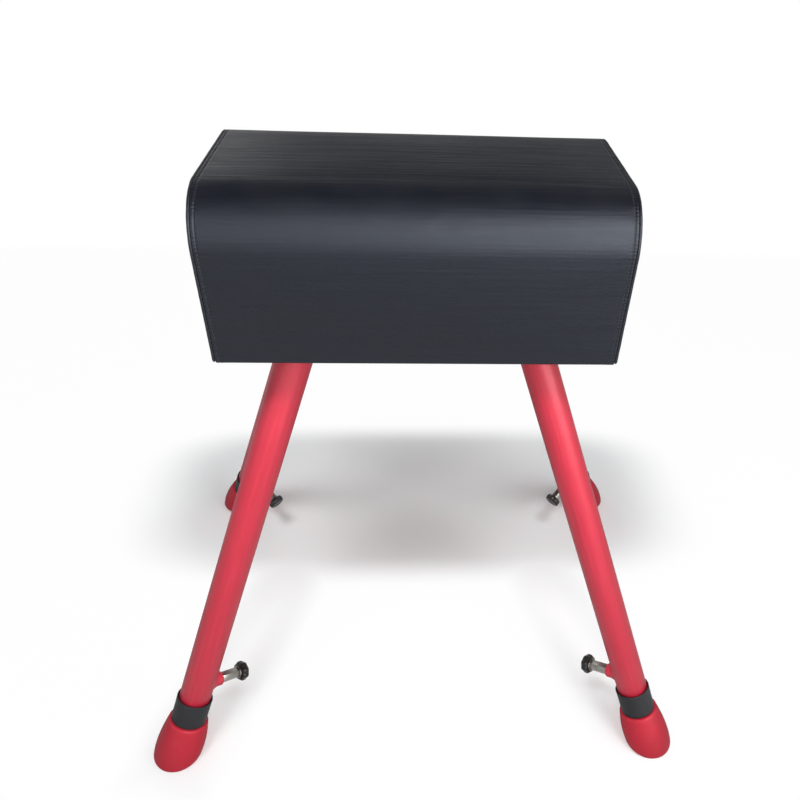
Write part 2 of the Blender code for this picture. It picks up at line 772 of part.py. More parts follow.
def screw_mesh():
    """The clamp screw: threaded end, hexagonal shank, washer face and a spigot for the knob."""
    thread = SCREW_DIAMETER / 2
    washer = WASHER_DIAMETER / 2
    spigot = SPIGOT_DIAMETER / 2
    chamfer = SCREW_PITCH / 2
    profile = [
        (0.0, KNOB_START + SPIGOT_LENGTH),
        (spigot, KNOB_START + SPIGOT_LENGTH),
        (spigot, WASHER_END),
        (washer, WASHER_END),
        (washer, SHANK_END),
        (thread, SHANK_END),
        (thread, SCREW_TIP + chamfer),
        (thread - chamfer, SCREW_TIP),
        (0.0, SCREW_TIP),
    ]
    rod = turned("rod", profile, CLAMP_SIDES, False)
    corner = SHANK_ACROSS_FLATS / math.sqrt(3)
    bite = WASHER_THICKNESS / 2
    length = SHANK_LENGTH + bite
    middle = SHANK_START + length / 2
    hexagon = cylinder("hexagon", corner, length, 6, Matrix.Translation((0.0, 0.0, middle)))
    return combined(rod, [hexagon], "UNION", "clamp_screw")


def knob_mesh():
    """A fluted knob with a domed face, bored for the screw's spigot."""
    radius = KNOB_DIAMETER / 2
    count = KNOB_FLUTES * FLUTE_POINTS
    half_depth = KNOB_FLUTE_DEPTH / 2
    sections = (
        (0.0, KNOB_BACK_RADIUS, 0.0),
        (KNOB_BACK_EDGE, radius - KNOB_BACK_INSET, half_depth),
        (KNOB_BACK_EDGE + KNOB_BACK_BEVEL, radius, KNOB_FLUTE_DEPTH),
        (KNOB_LENGTH - KNOB_DOME, radius, KNOB_FLUTE_DEPTH),
        (KNOB_LENGTH - KNOB_DOME_EDGE, radius - KNOB_DOME_INSET, half_depth),
        (KNOB_LENGTH, KNOB_FACE_RADIUS, 0.0),
    )
    rings = []
    for height, rim, depth in sections:
        ring = []
        for i in range(count):
            angle = math.tau * i / count
            reach = rim - depth * (1 - math.cos(KNOB_FLUTES * angle)) / 2
            ring.append((reach * math.cos(angle), reach * math.sin(angle), KNOB_START + height))
        rings.append(ring)
    blank = ring_loft("knob", rings)
    depth = SPIGOT_LENGTH + GAP
    bore = cylinder(
        "bore",
        SPIGOT_DIAMETER / 2 + GAP,
        2 * depth,
        CLAMP_SIDES,
        Matrix.Translation((0.0, 0.0, KNOB_START)),
    )
    return combined(blank, [bore], "DIFFERENCE", "clamp_knob")


def flange_mesh():
    blank = plate("flange", FLANGE_LENGTH, FLANGE_WIDTH, FLANGE_BOTTOM, FLANGE_TOP, PLATE_CORNER)
    radius = STUD_DIAMETER / 2 + STUD_HOLE_CLEARANCE
    middle = (FLANGE_BOTTOM + FLANGE_TOP) / 2
    holes = []
    for x, y in stud_offsets():
        matrix = Matrix.Translation((x, y, middle))
        holes.append(cylinder("hole", radius, 3 * FLANGE_THICKNESS, STUD_SIDES, matrix))
    return combined(blank, holes, "DIFFERENCE", "flange_plate")


def stud_bar_mesh():
    """A bar on top of the base board whose eight studs hang through it and two flanges."""
    low = BASE_TOP + GAP
    width = 2 * LEG_TOP_Y + FLANGE_WIDTH
    blank = plate("stud_bar", FLANGE_LENGTH, width, low, low + STUD_BAR, PLATE_CORNER)
    bottom = FLANGE_BOTTOM - STUD_TAIL
    top = low + STUD_BAR / 2
    studs = []
    for leg_y in (-LEG_TOP_Y, LEG_TOP_Y):
        for x, y in stud_offsets():
            matrix = Matrix.Translation((x, leg_y + y, (bottom + top) / 2))
            studs.append(cylinder("stud", STUD_DIAMETER / 2, top - bottom, STUD_SIDES, matrix))
    return combined(blank, studs, "UNION", "stud_bar")


def leg_meshes():
    """One mesh for each kind of leg piece; the four legs share them."""
    return {
        "outer_tube": outer_tube_mesh(),
        "guide_bush": guide_bush_mesh(),
        "inner_tube": tube("inner_tube", INNER_RADIUS, INNER_BORE, INNER_TUBE_BOTTOM, INNER_TUBE_TOP),
        "guide_plug": guide_plug_mesh(),
        "collar": collar_mesh(),
        "foot": foot_mesh(),
        "clamp_boss": boss_mesh(),
        "clamp_pad": pad_mesh(),
        "clamp_screw": screw_mesh(),
        "clamp_knob": knob_mesh(),
        "flange_plate": flange_mesh(),
    }


def build_leg(name, side_x, side_y, meshes, parts):
    """Place one leg's pieces on the empties that carry them."""
    frame = frame_empty(name + "_axis", leg_frame(side_x, side_y), parts)
    slide = frame_empty(name + "_extension", Matrix.Identity(4), parts, frame)
    clamp = frame_empty(name + "_clamp_travel", clamp_turn(), parts, frame)
    turn = frame_empty(name + "_clamp_turn", Matrix.Identity(4), parts, clamp)
    centre = Matrix.Translation((side_x * LEG_TOP_X, side_y * LEG_TOP_Y, 0.0))
    fixing = frame_empty(name + "_fixing", centre, parts)
    pieces = (
        ("outer_tube", PAINT_RED, frame),
        ("guide_bush", NYLON, frame),
        ("inner_tube", ZINC_STEEL, slide),
        ("guide_plug", NYLON, slide),
        ("collar", RUBBER_BLACK, slide),
        ("foot", FOOT_RED, slide),
        ("clamp_pad", BRASS, clamp),
        ("clamp_screw", STEEL, turn),
        ("clamp_knob", KNOB_BLACK, turn),
        ("flange_plate", PAINT_RED, fixing),
    )
    for piece, look, parent in pieces:
        place(f"{name}_{piece}", meshes[piece], look, parts, parent)
    boss = place(f"{name}_clamp_boss", meshes["clamp_boss"], PAINT_RED, parts, frame)
    boss.matrix_basis = clamp_turn()


def main():
    clear_scene()
    parts = new_collection("vaulting_buck")
    cutters = new_collection("vaulting_buck_cutters")
    build_head(parts, cutters)
    meshes = leg_meshes()
    studs = stud_bar_mesh()
    for side_x, across in ((-1, "left"), (1, "right")):
        bar = place(across + "_stud_bar", studs, ZINC_STEEL, parts)
        bar.location.x = side_x * LEG_TOP_X
        for side_y, along in ((-1, "front"), (1, "rear")):
            build_leg(f"{along}_{across}", side_x, side_y, meshes, parts)


main()
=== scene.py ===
# %% [markdown]
# # A vaulting buck in a plain studio
# A vaulting buck is the short padded block on four splayed legs that gymnasts leap over. Its solid
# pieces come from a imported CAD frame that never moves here. This lesson dresses that frame piece by
# piece: a leather head that is blown up by Blender's cloth, turned and lofted legs, and procedural
# materials for all of them.

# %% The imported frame
import math

import bmesh
import bpy
from mathutils import Matrix, Vector, noise
from mathutils.bvhtree import BVHTree


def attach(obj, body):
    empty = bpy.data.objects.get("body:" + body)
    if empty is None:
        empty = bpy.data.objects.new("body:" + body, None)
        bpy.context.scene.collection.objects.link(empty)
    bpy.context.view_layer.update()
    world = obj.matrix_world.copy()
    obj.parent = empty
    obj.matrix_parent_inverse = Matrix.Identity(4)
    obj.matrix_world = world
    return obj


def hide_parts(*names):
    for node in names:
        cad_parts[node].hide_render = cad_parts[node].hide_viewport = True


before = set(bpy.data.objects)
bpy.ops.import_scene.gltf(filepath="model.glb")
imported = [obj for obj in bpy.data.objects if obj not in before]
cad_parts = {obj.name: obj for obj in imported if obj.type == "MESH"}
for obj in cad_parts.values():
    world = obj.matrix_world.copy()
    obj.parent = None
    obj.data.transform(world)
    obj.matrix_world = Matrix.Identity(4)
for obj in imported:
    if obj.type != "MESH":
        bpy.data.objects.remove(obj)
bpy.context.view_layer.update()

scene = bpy.context.scene

# %% [markdown]
# ## The camera
# The camera stands in front of the buck at eye height and looks down at it, turned a few degrees and
# tilted a little. Its lens is written as a focal length in pixels of an 800 pixel frame, because that
# is how it was solved from the straight edges of the head. A small shift puts the optical axis where
# it lies in that frame.

# %% Camera
CAMERA_PLACE = Vector((-0.0091, -1.0800, 1.3574))
CAMERA_TURNS = (4.6195, 40.0006, -2.8343)
FOCAL_PIXELS = 725.90
OPTICAL_AXIS = (457.13, 456.34)
FRAME_PIXELS = 800
SENSOR = 36.0


def axes_at(place, x, y, z):
    """The matrix of a frame, from its place and its three axes."""
    matrix = Matrix((x, y, z)).transposed().to_4x4()
    matrix.translation = place
    return matrix


def camera_matrix(yaw, pitch, roll):
    level = math.cos(pitch)
    ahead = Vector((math.sin(yaw) * level, math.cos(yaw) * level, -math.sin(pitch)))
    right = Vector((math.cos(yaw), -math.sin(yaw), 0.0))
    down = ahead.cross(right)
    tilted_right = math.cos(roll) * right + math.sin(roll) * down
    tilted_down = math.cos(roll) * down - math.sin(roll) * right
    return axes_at(CAMERA_PLACE, tilted_right, -tilted_down, -ahead)


lens = bpy.data.cameras.new("camera")
lens.sensor_width = SENSOR
lens.lens = SENSOR * FOCAL_PIXELS / FRAME_PIXELS
lens.shift_x = -(OPTICAL_AXIS[0] - FRAME_PIXELS / 2) / FRAME_PIXELS
lens.shift_y = (OPTICAL_AXIS[1] - FRAME_PIXELS / 2) / FRAME_PIXELS
lens.clip_start = 0.01
camera = bpy.data.objects.new("camera", lens)
scene.collection.objects.link(camera)
camera.matrix_world = camera_matrix(*(math.radians(turn) for turn in CAMERA_TURNS))
scene.camera = camera
print("camera lens in mm:", round(lens.lens, 2))

# %% [markdown]
# ## The sizes of the frame
# New pieces have to land exactly on the CAD solids, so the lesson repeats the sizes that they share.
# All of them are metres. Heights on a leg are measured up the tube from the floor.

# %% Sizes
GAP = 0.0003
STAND_HEIGHT = 0.770
HEAD_LENGTH, HEAD_WIDTH, HEAD_HEIGHT = 0.596, 0.345, 0.243
HALF_LENGTH, HALF_WIDTH = HEAD_LENGTH / 2, HEAD_WIDTH / 2
HEAD_TOP = STAND_HEIGHT + HEAD_HEIGHT
HEAD_EDGE_RADIUS = 0.076
HEM_WIDTH, HEM_RADIUS = 0.025, 0.004
LEATHER = 0.0018
WELT_RADIUS = 0.0025
STITCH_LINE = 0.0045  # from the seam to the stitches beside it
LEG_TOP = (0.179, 0.085)
LEG_FOOT = (0.460, 0.347)
FLANGE_BOTTOM = 0.7660
OUTER_RADIUS, OUTER_BORE = 0.0285, 0.0256
INNER_RADIUS, INNER_BORE = 0.0230, 0.0205
INNER_LOW, INNER_HIGH = 0.0303, 0.7303
FOOT_LENGTH = 0.081
COLLAR_LENGTH, COLLAR_BASE = 0.053, 0.018
COLLAR_RADIUS, COLLAR_BORE = 0.0322, 0.0300
CLAMP_HEIGHT = 0.160
KNOB_SEAT = 0.0870  # along the screw, from the axis of the tube
SPLAY = math.atan2(math.dist(LEG_FOOT, LEG_TOP), STAND_HEIGHT)
UP_LEG = 1 / math.cos(SPLAY)  # length along a leg for each metre of height
print("splay of the legs in degrees:", round(math.degrees(SPLAY), 2))

# %% [markdown]
# ## Helpers for node trees
# A material here is a handful of nodes, and every node is made the same way: a kind, its settings,
# and a dictionary of sockets. A value that is itself a socket gets linked, and any other value is
# written into the socket. A socket knows the tree that it belongs to, so the helpers ask it.


# %% Node helpers
def add(tree, kind, sockets=None, **settings):
    """Add a node; a socket among the values is linked, any other value is set."""
    node = tree.nodes.new(kind)
    for name, value in settings.items():
        setattr(node, name, value)
    for name, value in (sockets or {}).items():
        if isinstance(value, bpy.types.NodeSocket):
            tree.links.new(value, node.inputs[name])
        else:
            node.inputs[name].default_value = value
    return node


def link(value, socket):
    value.id_data.links.new(value, socket)


def noise_at(vector, scale, detail=3.0, rough=0.55):
    sockets = {"Vector": vector, "Scale": scale, "Detail": detail, "Roughness": rough}
    return add(vector.id_data, "ShaderNodeTexNoise", sockets).outputs["Fac"]


def stretched(vector, x, y, z):
    """The coordinates multiplied axis by axis, to draw a pattern out in one direction."""
    sockets = {"Vector": vector, "Scale": (x, y, z)}
    return add(vector.id_data, "ShaderNodeMapping", sockets).outputs["Vector"]


def split(vector):
    return add(vector.id_data, "ShaderNodeSeparateXYZ", {"Vector": vector}).outputs


def spread(value, low, high, to_low=0.0, to_high=1.0, ease="LINEAR"):
    """Map a value from one range to another, clamped."""
    sockets = {"Value": value, "From Min": low, "From Max": high, "To Min": to_low, "To Max": to_high}
    return add(value.id_data, "ShaderNodeMapRange", sockets, interpolation_type=ease).outputs["Result"]


def mixed(share, first, second):
    """Blend two colours by a share; a colour is a socket, or red, green and blue."""
    pair = [tone if isinstance(tone, bpy.types.NodeSocket) else (*tone, 1.0) for tone in (first, second)]
    sockets = {0: share, 6: pair[0], 7: pair[1]}
    return add(share.id_data, "ShaderNodeMix", sockets, data_type="RGBA").outputs[2]


# %% Arithmetic in nodes
def reckon(operation, first, second=0.0):
    node = add(first.id_data, "ShaderNodeMath", {0: first, 1: second}, operation=operation)
    return node.outputs["Value"]


def times(first, second):
    return reckon("MULTIPLY", first, second)


def plus(first, second):
    return reckon("ADD", first, second)


def minus(first, second):
    return reckon("SUBTRACT", first, second)


def larger(first, second):
    return reckon("MAXIMUM", first, second)


# %% [markdown]
# ## Effects that several materials share
# Smudges, leather grain, worn edges, dust and brush lines turn up on more than one finish. Each is a
# node group that is built once and placed in a material with values of its own. The groups put out
# masks and heights only, and the shader stays in the material.


# %% Helpers for effects
def new_effect(name, outputs, **inputs):
    """Start a node group with a Vector, number inputs with their defaults, and named outputs."""
    tree = bpy.data.node_groups.new(name, "ShaderNodeTree")
    tree.interface.new_socket("Vector", in_out="INPUT", socket_type="NodeSocketVector")
    for label, default in inputs.items():
        socket = tree.interface.new_socket(label, in_out="INPUT", socket_type="NodeSocketFloat")
        socket.default_value = default
    for label in outputs:
        tree.interface.new_socket(label, in_out="OUTPUT", socket_type="NodeSocketFloat")
    return tree, tree.nodes.new("NodeGroupInput").outputs, tree.nodes.new("NodeGroupOutput").inputs


def effect(name, spot, **sockets):
    """Place an effect in the material that the spot belongs to."""
    group = bpy.data.node_groups[name]
    return add(spot.id_data, "ShaderNodeGroup", {"Vector": spot, **sockets}, node_tree=group).outputs


def mask(name, spot, **sockets):
    return effect(name, spot, **sockets)["Mask"]


# %% Smudges
tree, given, made = new_effect("smudges", ["Mask"], Scale=20.0)
broad = noise_at(given["Vector"], given["Scale"], 4.0, 0.6)
finer = noise_at(given["Vector"], times(given["Scale"], 5.3), 4.0, 0.6)
link(spread(plus(times(broad, 0.7), times(finer, 0.3)), 0.36, 0.66), made["Mask"])

# %% Leather grain
tree, given, made = new_effect("leather_grain", ["Height", "CreaseShade"], Scale=900.0)
bent = noise_at(given["Vector"], times(given["Scale"], 0.35), 2.0)
sockets = {0: bent, 1: (0.0004, 0.0004, 0.0004), 2: given["Vector"]}
shifted = add(tree, "ShaderNodeVectorMath", sockets, operation="MULTIPLY_ADD").outputs["Vector"]
sockets = {"Vector": shifted, "Scale": given["Scale"]}
cells = add(tree, "ShaderNodeTexVoronoi", sockets, feature="DISTANCE_TO_EDGE")
pebble = spread(cells.outputs["Distance"], 0.0, 0.16)
pores = noise_at(given["Vector"], times(given["Scale"], 2.1), 2.0)
link(plus(times(pebble, 0.8), pores), made["Height"])
# the crease mask darkens the leather's colour in the grain's creases, as painted shade
link(spread(pebble, 0.55, 0.0), made["CreaseShade"])

# %% Worn edges
tree, given, made = new_effect("worn_edges", ["Mask"], Scale=90.0, Start=0.56)
sharpness = add(tree, "ShaderNodeNewGeometry").outputs["Pointiness"]
broken = spread(noise_at(given["Vector"], given["Scale"], 5.0, 0.65), 0.42, 0.62)
ridge = spread(sharpness, given["Start"], plus(given["Start"], 0.08))
link(times(ridge, broken), made["Mask"])

# %% Dust
tree, given, made = new_effect("dust", ["Mask"], Scale=14.0, Amount=0.3)
upward = split(add(tree, "ShaderNodeNewGeometry").outputs["Normal"])["Z"]
drift = spread(noise_at(given["Vector"], given["Scale"], 6.0, 0.7), 0.38, 0.72)
link(times(times(spread(upward, 0.1, 0.95), drift), given["Amount"]), made["Mask"])

# %% Brush lines
tree, given, made = new_effect("brush_lines", ["Height"], Scale=900.0)
first = noise_at(given["Vector"], given["Scale"], 2.0)
second = noise_at(given["Vector"], times(given["Scale"], 3.1), 2.0)
link(plus(first, times(second, 0.5)), made["Height"])
print("effects:", [group.name for group in bpy.data.node_groups])

# %% [markdown]
# ## Materials
# Each finish starts from the same Principled shader. Numbers that don't change over the surface are
# written straight on the shader. Colour, roughness and bump are then driven by the effects, so no
# finish is one flat colour. Two finishes also use the slant, which is 0 where a surface faces the
# viewer and 1 where it turns away.


# %% Helpers for materials
def new_finish(name, **constants):
    """A material, its shader and its coordinates; an underscore in a keyword stands for a space."""
    material = bpy.data.materials.new(name)
    material.use_nodes = True
    shader = material.node_tree.nodes["Principled BSDF"]
    for key, value in constants.items():
        shader.inputs[key.replace("_", " ")].default_value = value
    return material, shader, add(material.node_tree, "ShaderNodeTexCoord").outputs


def drive(shader, colour, roughness=None, coat=None, shine=None):
    wanted = {"Base Color": colour, "Roughness": roughness, "Coat Weight": coat, "Specular IOR Level": shine}
    for name, socket in wanted.items():
        if socket is not None:
            link(socket, shader.inputs[name])


def slant(shader):
    return add(shader.id_data, "ShaderNodeLayerWeight", {"Blend": 0.5}).outputs["Facing"]


def raise_surface(shader, *heights):
    """Chain bumps; each height comes with its depth in metres and its strength."""
    sockets = {}
    for height, depth, strength in heights:
        sockets.update({"Height": height, "Distance": depth, "Strength": strength})
        sockets["Normal"] = add(shader.id_data, "ShaderNodeBump", sockets).outputs["Normal"]
    link(sockets["Normal"], shader.inputs["Normal"])


# %% [markdown]
# ### Leather
# The head is covered in smooth black coated leather. Its grain is finer than a millimetre; it softens
# the gloss, and the creases between its pebbles are darkened in colour as painted shade. Seen at a low
# angle, the raised grain hides the shiny coat between it, so gloss and coat fade with the slant. Near a
# seam the thread pulls the leather into small puckers, so the surface carries an attribute with the
# distance along the seam and away from it, and the bump reads that.


# %% Leather
def seam_pucker(tree):
    """A height that dips under the stitches and ripples beside them."""
    seam = add(tree, "ShaderNodeAttribute", attribute_name="seam").outputs["Vector"]
    parts = split(seam)
    wave = plus(times(parts["X"], 1256.0), times(noise_at(seam, 60.0, 2.0), 9.0))
    beside = times(times(reckon("SINE", wave), spread(parts["Y"], 0.011, 0.001)), 0.20)
    from_stitches = reckon("ABSOLUTE", minus(parts["Y"], STITCH_LINE))
    return plus(spread(from_stitches, 0.0018, 0.0, 0.0, -1.0), beside)


def leather_finish(name, dark, light, scale):
    tint = (0.78, 0.86, 1.0, 1.0)
    material, shader, place = new_finish(name, Coat_Roughness=0.38, Specular_Tint=tint)
    spot = place["Object"]
    grain = effect("leather_grain", spot, Scale=scale)
    patch = mask("smudges", stretched(spot, 0.5, 1.0, 2.2), Scale=9.0)
    rubbed = mask("worn_edges", spot, Scale=70.0, Start=0.54)
    tone = mixed(patch, dark, light)
    # painted shade: the colour darkens in the creases between the grain's pebbles
    tone = mixed(times(grain["CreaseShade"], 0.35), tone, (0.004, 0.004, 0.005))
    tone = mixed(times(rubbed, 0.25), tone, (0.10, 0.10, 0.105))
    tone = mixed(mask("dust", spot, Scale=9.0, Amount=0.03), tone, (0.16, 0.155, 0.14))
    drawn_out = noise_at(stretched(spot, 5.0, 160.0, 160.0), 1.0, 4.0, 0.6)
    gloss = plus(spread(patch, 0.0, 1.0, 0.36, 0.405), spread(drawn_out, 0.35, 0.65, -0.035, 0.045))
    open_grain = spread(slant(shader), 0.40, 0.62, 1.0, 0.10)
    coat = times(open_grain, spread(patch, 0.0, 1.0, 0.16, 0.08))
    drive(shader, tone, gloss, coat, times(open_grain, 0.29))
    streaks = noise_at(stretched(spot, 7.0, 210.0, 210.0), 1.0, 5.0, 0.62)
    puckers = seam_pucker(shader.id_data)
    raise_surface(
        shader, (streaks, 0.0012, 0.42), (puckers, 0.0009, 0.8), (grain["Height"], 0.00010, 0.45)
    )
    return material


leather = leather_finish("leather", (0.0034, 0.0042, 0.0078), (0.0054, 0.0064, 0.0108), 900.0)
welt_leather = leather_finish("welt_leather", (0.008, 0.009, 0.012), (0.014, 0.015, 0.019), 1400.0)

# %% [markdown]
# ### Thread and plywood
# The seam thread is bonded nylon, paler than the leather and twisted. The core and the base are birch
# plywood: fine grain that runs along the boards, with the darker lines of the plies on their edges.

# %% Thread
thread, shader, place = new_finish("thread", Specular_IOR_Level=0.4, Roughness=0.55)
patch = mask("smudges", place["Object"], Scale=120.0)
drive(shader, mixed(patch, (0.014, 0.014, 0.017), (0.030, 0.030, 0.034)))
sockets = {"Vector": place["Object"], "Scale": 320.0, "Distortion": 1.5}
twist = add(shader.id_data, "ShaderNodeTexWave", sockets, bands_direction="DIAGONAL")
raise_surface(shader, (twist.outputs["Fac"], 0.0001, 0.6))

# %% Plywood
PLY_WAVE = 2244.0  # radians in a metre, a dark line every 2.8 mm
plywood, shader, place = new_finish("plywood", Specular_IOR_Level=0.3)
spot = place["Object"]
figure = noise_at(stretched(spot, 1.0, 14.0, 14.0), 7.0, 6.0, 0.6)
pores = noise_at(stretched(spot, 1.0, 40.0, 40.0), 16.0, 3.0, 0.7)
wood = mixed(spread(figure, 0.35, 0.65), (0.44, 0.29, 0.155), (0.60, 0.44, 0.26))
wood = mixed(spread(pores, 0.60, 0.74, 0.0, 0.55), wood, (0.25, 0.15, 0.075))
plies = reckon("SINE", times(split(spot)["Z"], PLY_WAVE))
upward = split(add(shader.id_data, "ShaderNodeNewGeometry").outputs["Normal"])["Z"]
glue = times(spread(plies, 0.55, 0.85), spread(reckon("ABSOLUTE", upward), 0.5, 0.1))
wood = mixed(times(glue, 0.6), wood, (0.20, 0.115, 0.055))
drive(shader, wood, spread(figure, 0.3, 0.7, 0.52, 0.68))
raise_surface(shader, (pores, 0.0003, 0.35))

# %% [markdown]
# ### Red paint
# Tubes, bosses and flanges are coated in one red gloss. Sprayed paint has a faint orange-peel surface.
# It loses its shine in patches, chips along sharp edges down to grey steel, and collects dust where it
# faces up. Towards a tube's edges the gloss mirrors less light, and the red is darkened there as painted
# shade. The same recipe with other numbers makes the duller feet, which are moulded and carry the same
# painted shade at their edges.


# %% Red finishes
def red_finish(name, low, high, gloss, shine, peel, chipped, bare, dusty, drawn_tube=False):
    material, shader, place = new_finish(name, Coat_Roughness=0.28)
    spot = place["Object"]
    patch = mask("smudges", spot, Scale=16.0)
    chips = mask("worn_edges", spot, Scale=240.0, Start=0.57)
    dust = mask("dust", spot, Scale=30.0, Amount=dusty)
    scuffs = spread(noise_at(stretched(spot, 60.0, 60.0, 12.0), 3.0, 6.0, 0.7), 0.72, 0.80)
    tone = mixed(patch, low, high)
    if drawn_tube:
        lengthwise = noise_at(stretched(place["UV"], 170.0, 6.0, 1.0), 1.0, 4.0, 0.6)
        tone = mixed(spread(lengthwise, 0.50, 0.72, 0.0, 0.45), tone, (0.58, 0.011, 0.036))
        tone = mixed(spread(lengthwise, 0.46, 0.28, 0.0, 0.40), tone, (0.84, 0.050, 0.094))
    tone = mixed(times(scuffs, 0.30), tone, (0.55, 0.03, 0.05))
    tone = mixed(times(chips, chipped), tone, bare)
    tone = mixed(dust, tone, (0.52, 0.40, 0.36))
    slanted = slant(shader)
    # painted shade: the red darkens towards the edges, where the surface turns away from the viewer
    tone = mixed(spread(slanted, 0.0, 0.8, 0.0, 0.62), tone, (0.10, 0.003, 0.010))
    facing = spread(slanted, 0.20, 0.80, 1.0, 0.25)
    dull = plus(spread(patch, 0.0, 1.0, gloss, gloss + 0.08), plus(times(scuffs, 0.2), dust))
    coat = times(facing, spread(patch, 0.0, 1.0, 0.22 * shine, 0.12 * shine))
    drive(shader, tone, dull, coat, times(facing, 0.35 * shine))
    raise_surface(shader, (noise_at(spot, 420.0, 2.0), peel, 0.35))
    return material


SPRAYED = dict(low=(0.685, 0.0155, 0.047), high=(0.745, 0.0205, 0.057), gloss=0.42, shine=1.0)
SPRAYED.update(peel=0.0002, chipped=0.45, bare=(0.30, 0.10, 0.11), dusty=0.06)
MOULDED = dict(low=(0.49, 0.0078, 0.026), high=(0.565, 0.0115, 0.034), gloss=0.48, shine=0.55)
MOULDED.update(peel=0.0003, chipped=0.25, bare=(0.34, 0.05, 0.06), dusty=0.05)
paint_red = red_finish("paint_red", **SPRAYED)
tube_red = red_finish("tube_red", **SPRAYED, drawn_tube=True)
foot_red = red_finish("foot_red", **MOULDED)

# %% [markdown]
# ### Rubber and the black knob
# The collar is matt moulded rubber with a dusty bloom. The knob is a harder black plastic with a low
# gloss that wears grey along the tops of its flutes.


# %% Black finishes
def black_finish(name, low, high, gloss, grain_scale, grain_depth):
    material, shader, place = new_finish(name, Specular_IOR_Level=0.25)
    spot = place["Object"]
    patch = mask("smudges", spot, Scale=45.0)
    rubbed = mask("worn_edges", spot, Scale=260.0, Start=0.57)
    tone = mixed(times(rubbed, 0.35), mixed(patch, low, high), (0.10, 0.10, 0.10))
    tone = mixed(mask("dust", spot, Scale=60.0, Amount=0.08), tone, (0.22, 0.21, 0.20))
    drive(shader, tone, spread(patch, 0.0, 1.0, gloss, gloss + 0.1))
    raise_surface(shader, (noise_at(spot, grain_scale, 3.0), grain_depth, 0.5))
    return material


rubber = black_finish("rubber", (0.0078, 0.0081, 0.0102), (0.0135, 0.0143, 0.0176), 0.62, 500.0, 0.0004)
knob_plastic = black_finish(
    "knob_plastic", (0.009, 0.009, 0.010), (0.015, 0.015, 0.016), 0.28, 900.0, 0.00012
)

# %% [markdown]
# ### Metals and nylon
# The clamp screws are bright steel, brushed along their length. The inner tubes, studs and nuts are
# zinc plated, which shows as a faint spangle, and an inner tube carries a dark ring every 50 mm for
# setting the height. The clamp pads are brass, and bushes and plugs are off-white nylon.


# %% Metals
def metal_finish(name, low, high, gloss, source, draw, tarnish):
    """Brushed metal; draw says how fine its lines are on each axis of the source."""
    material, shader, place = new_finish(name, Metallic=1.0)
    spot = place[source]
    lines = effect("brush_lines", stretched(spot, *draw), Scale=1.0)["Height"]
    rubbed = mask("worn_edges", spot, Scale=200.0, Start=0.57)
    tone = mixed(mask("smudges", spot, Scale=55.0), low, high)
    tone = mixed(spread(lines, 0.55, 0.95, tarnish, 0.0), tone, (0.10, 0.095, 0.09))
    tone = mixed(times(rubbed, 0.5), tone, (0.80, 0.80, 0.80))
    drive(shader, tone, plus(spread(lines, 0.5, 1.0, 0.10, 0.0), gloss))
    raise_surface(shader, (lines, 0.00012, 0.35))
    return material, shader, place


METALS = {
    "steel": ((0.24, 0.228, 0.205), (0.37, 0.355, 0.325), 0.22, "UV", (1500.0, 14.0, 1.0), 0.55),
    "zinc": ((0.42, 0.43, 0.46), (0.58, 0.59, 0.61), 0.34, "Object", (900.0, 900.0, 900.0), 0.25),
    "brass": ((0.58, 0.40, 0.16), (0.76, 0.56, 0.26), 0.30, "Object", (900.0, 900.0, 200.0), 0.30),
    "marked_zinc": ((0.44, 0.45, 0.48), (0.60, 0.61, 0.63), 0.30, "UV", (1500.0, 18.0, 1.0), 0.20),
}
steel, zinc, brass = (metal_finish(name, *METALS[name])[0] for name in ("steel", "zinc", "brass"))

# %% Zinc tube with height rings
FIRST_RING, RING_PITCH = 0.1303, 0.050
marked_zinc, shader, place = metal_finish("marked_zinc", *METALS["marked_zinc"])
step = reckon("PINGPONG", minus(split(place["UV"])["Y"], FIRST_RING), RING_PITCH / 2)
plain = shader.inputs["Base Color"].links[0].from_socket
drive(shader, mixed(spread(step, 0.00085, 0.00055), plain, (0.03, 0.03, 0.032)))

# %% Nylon
nylon, shader, place = new_finish("nylon", Specular_IOR_Level=0.45)
patch = mask("smudges", place["Object"], Scale=40.0)
scored = effect("brush_lines", stretched(place["Object"], 300.0, 300.0, 60.0), Scale=1.0)["Height"]
off_white = mixed(patch, (0.62, 0.61, 0.55), (0.72, 0.71, 0.66))
drive(shader, off_white, spread(patch, 0.0, 1.0, 0.42, 0.58))
raise_surface(shader, (scored, 0.0001, 0.3))
print("materials:", len(bpy.data.materials))

# %% [markdown]
# ## Helpers for pieces
# A new piece is one mesh at the origin, because the frame moves it by its body alone. The helper
# merges doubles, points the faces outwards and hands the piece to its body and its material slot.


def finished(bm, name, material, body, replaces=(), closed=True, sharp=38.0):
    """Make the built mesh a piece that rides on a body and stands for the CAD nodes it replaces."""
    bmesh.ops.remove_doubles(bm, verts=bm.verts, dist=0.000002)
    if closed:
        bmesh.ops.recalc_face_normals(bm, faces=bm.faces)
    mesh = bpy.data.meshes.new(name)
    bm.to_mesh(mesh)
    bm.free()
    mesh.shade_smooth()
    mesh.set_sharp_from_angle(angle=math.radians(sharp))
    mesh.materials.append(material)
    piece = bpy.data.objects.new(name, mesh)
    scene.collection.objects.link(piece)
    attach(piece, body)
    if replaces:
        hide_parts(*replaces)
    return piece


# %% Helpers for shaping
def verts_of(geom):
    return [item for item in geom if isinstance(item, bmesh.types.BMVert)]


def edges_of(geom):
    return [item for item in geom if isinstance(item, bmesh.types.BMEdge)]


def extruded(bm, edges):
    """Extrude a row of edges in place and return its new points and edges."""
    geom = bmesh.ops.extrude_edge_only(bm, edges=edges)["geom"]
    return verts_of(geom), edges_of(geom)


def turned(bm, geom, steps, angle=math.tau, centre=(0, 0, 0), axis=(0, 0, 1), climb=0.0, merge=True):
    """Spin points and edges about an axis and return what the last step made."""
    climb = (0, 0, climb)
    return bmesh.ops.spin(
        bm, geom=geom, cent=centre, axis=axis, dvec=climb, angle=angle, steps=steps, use_merge=merge
    )["geom_last"]


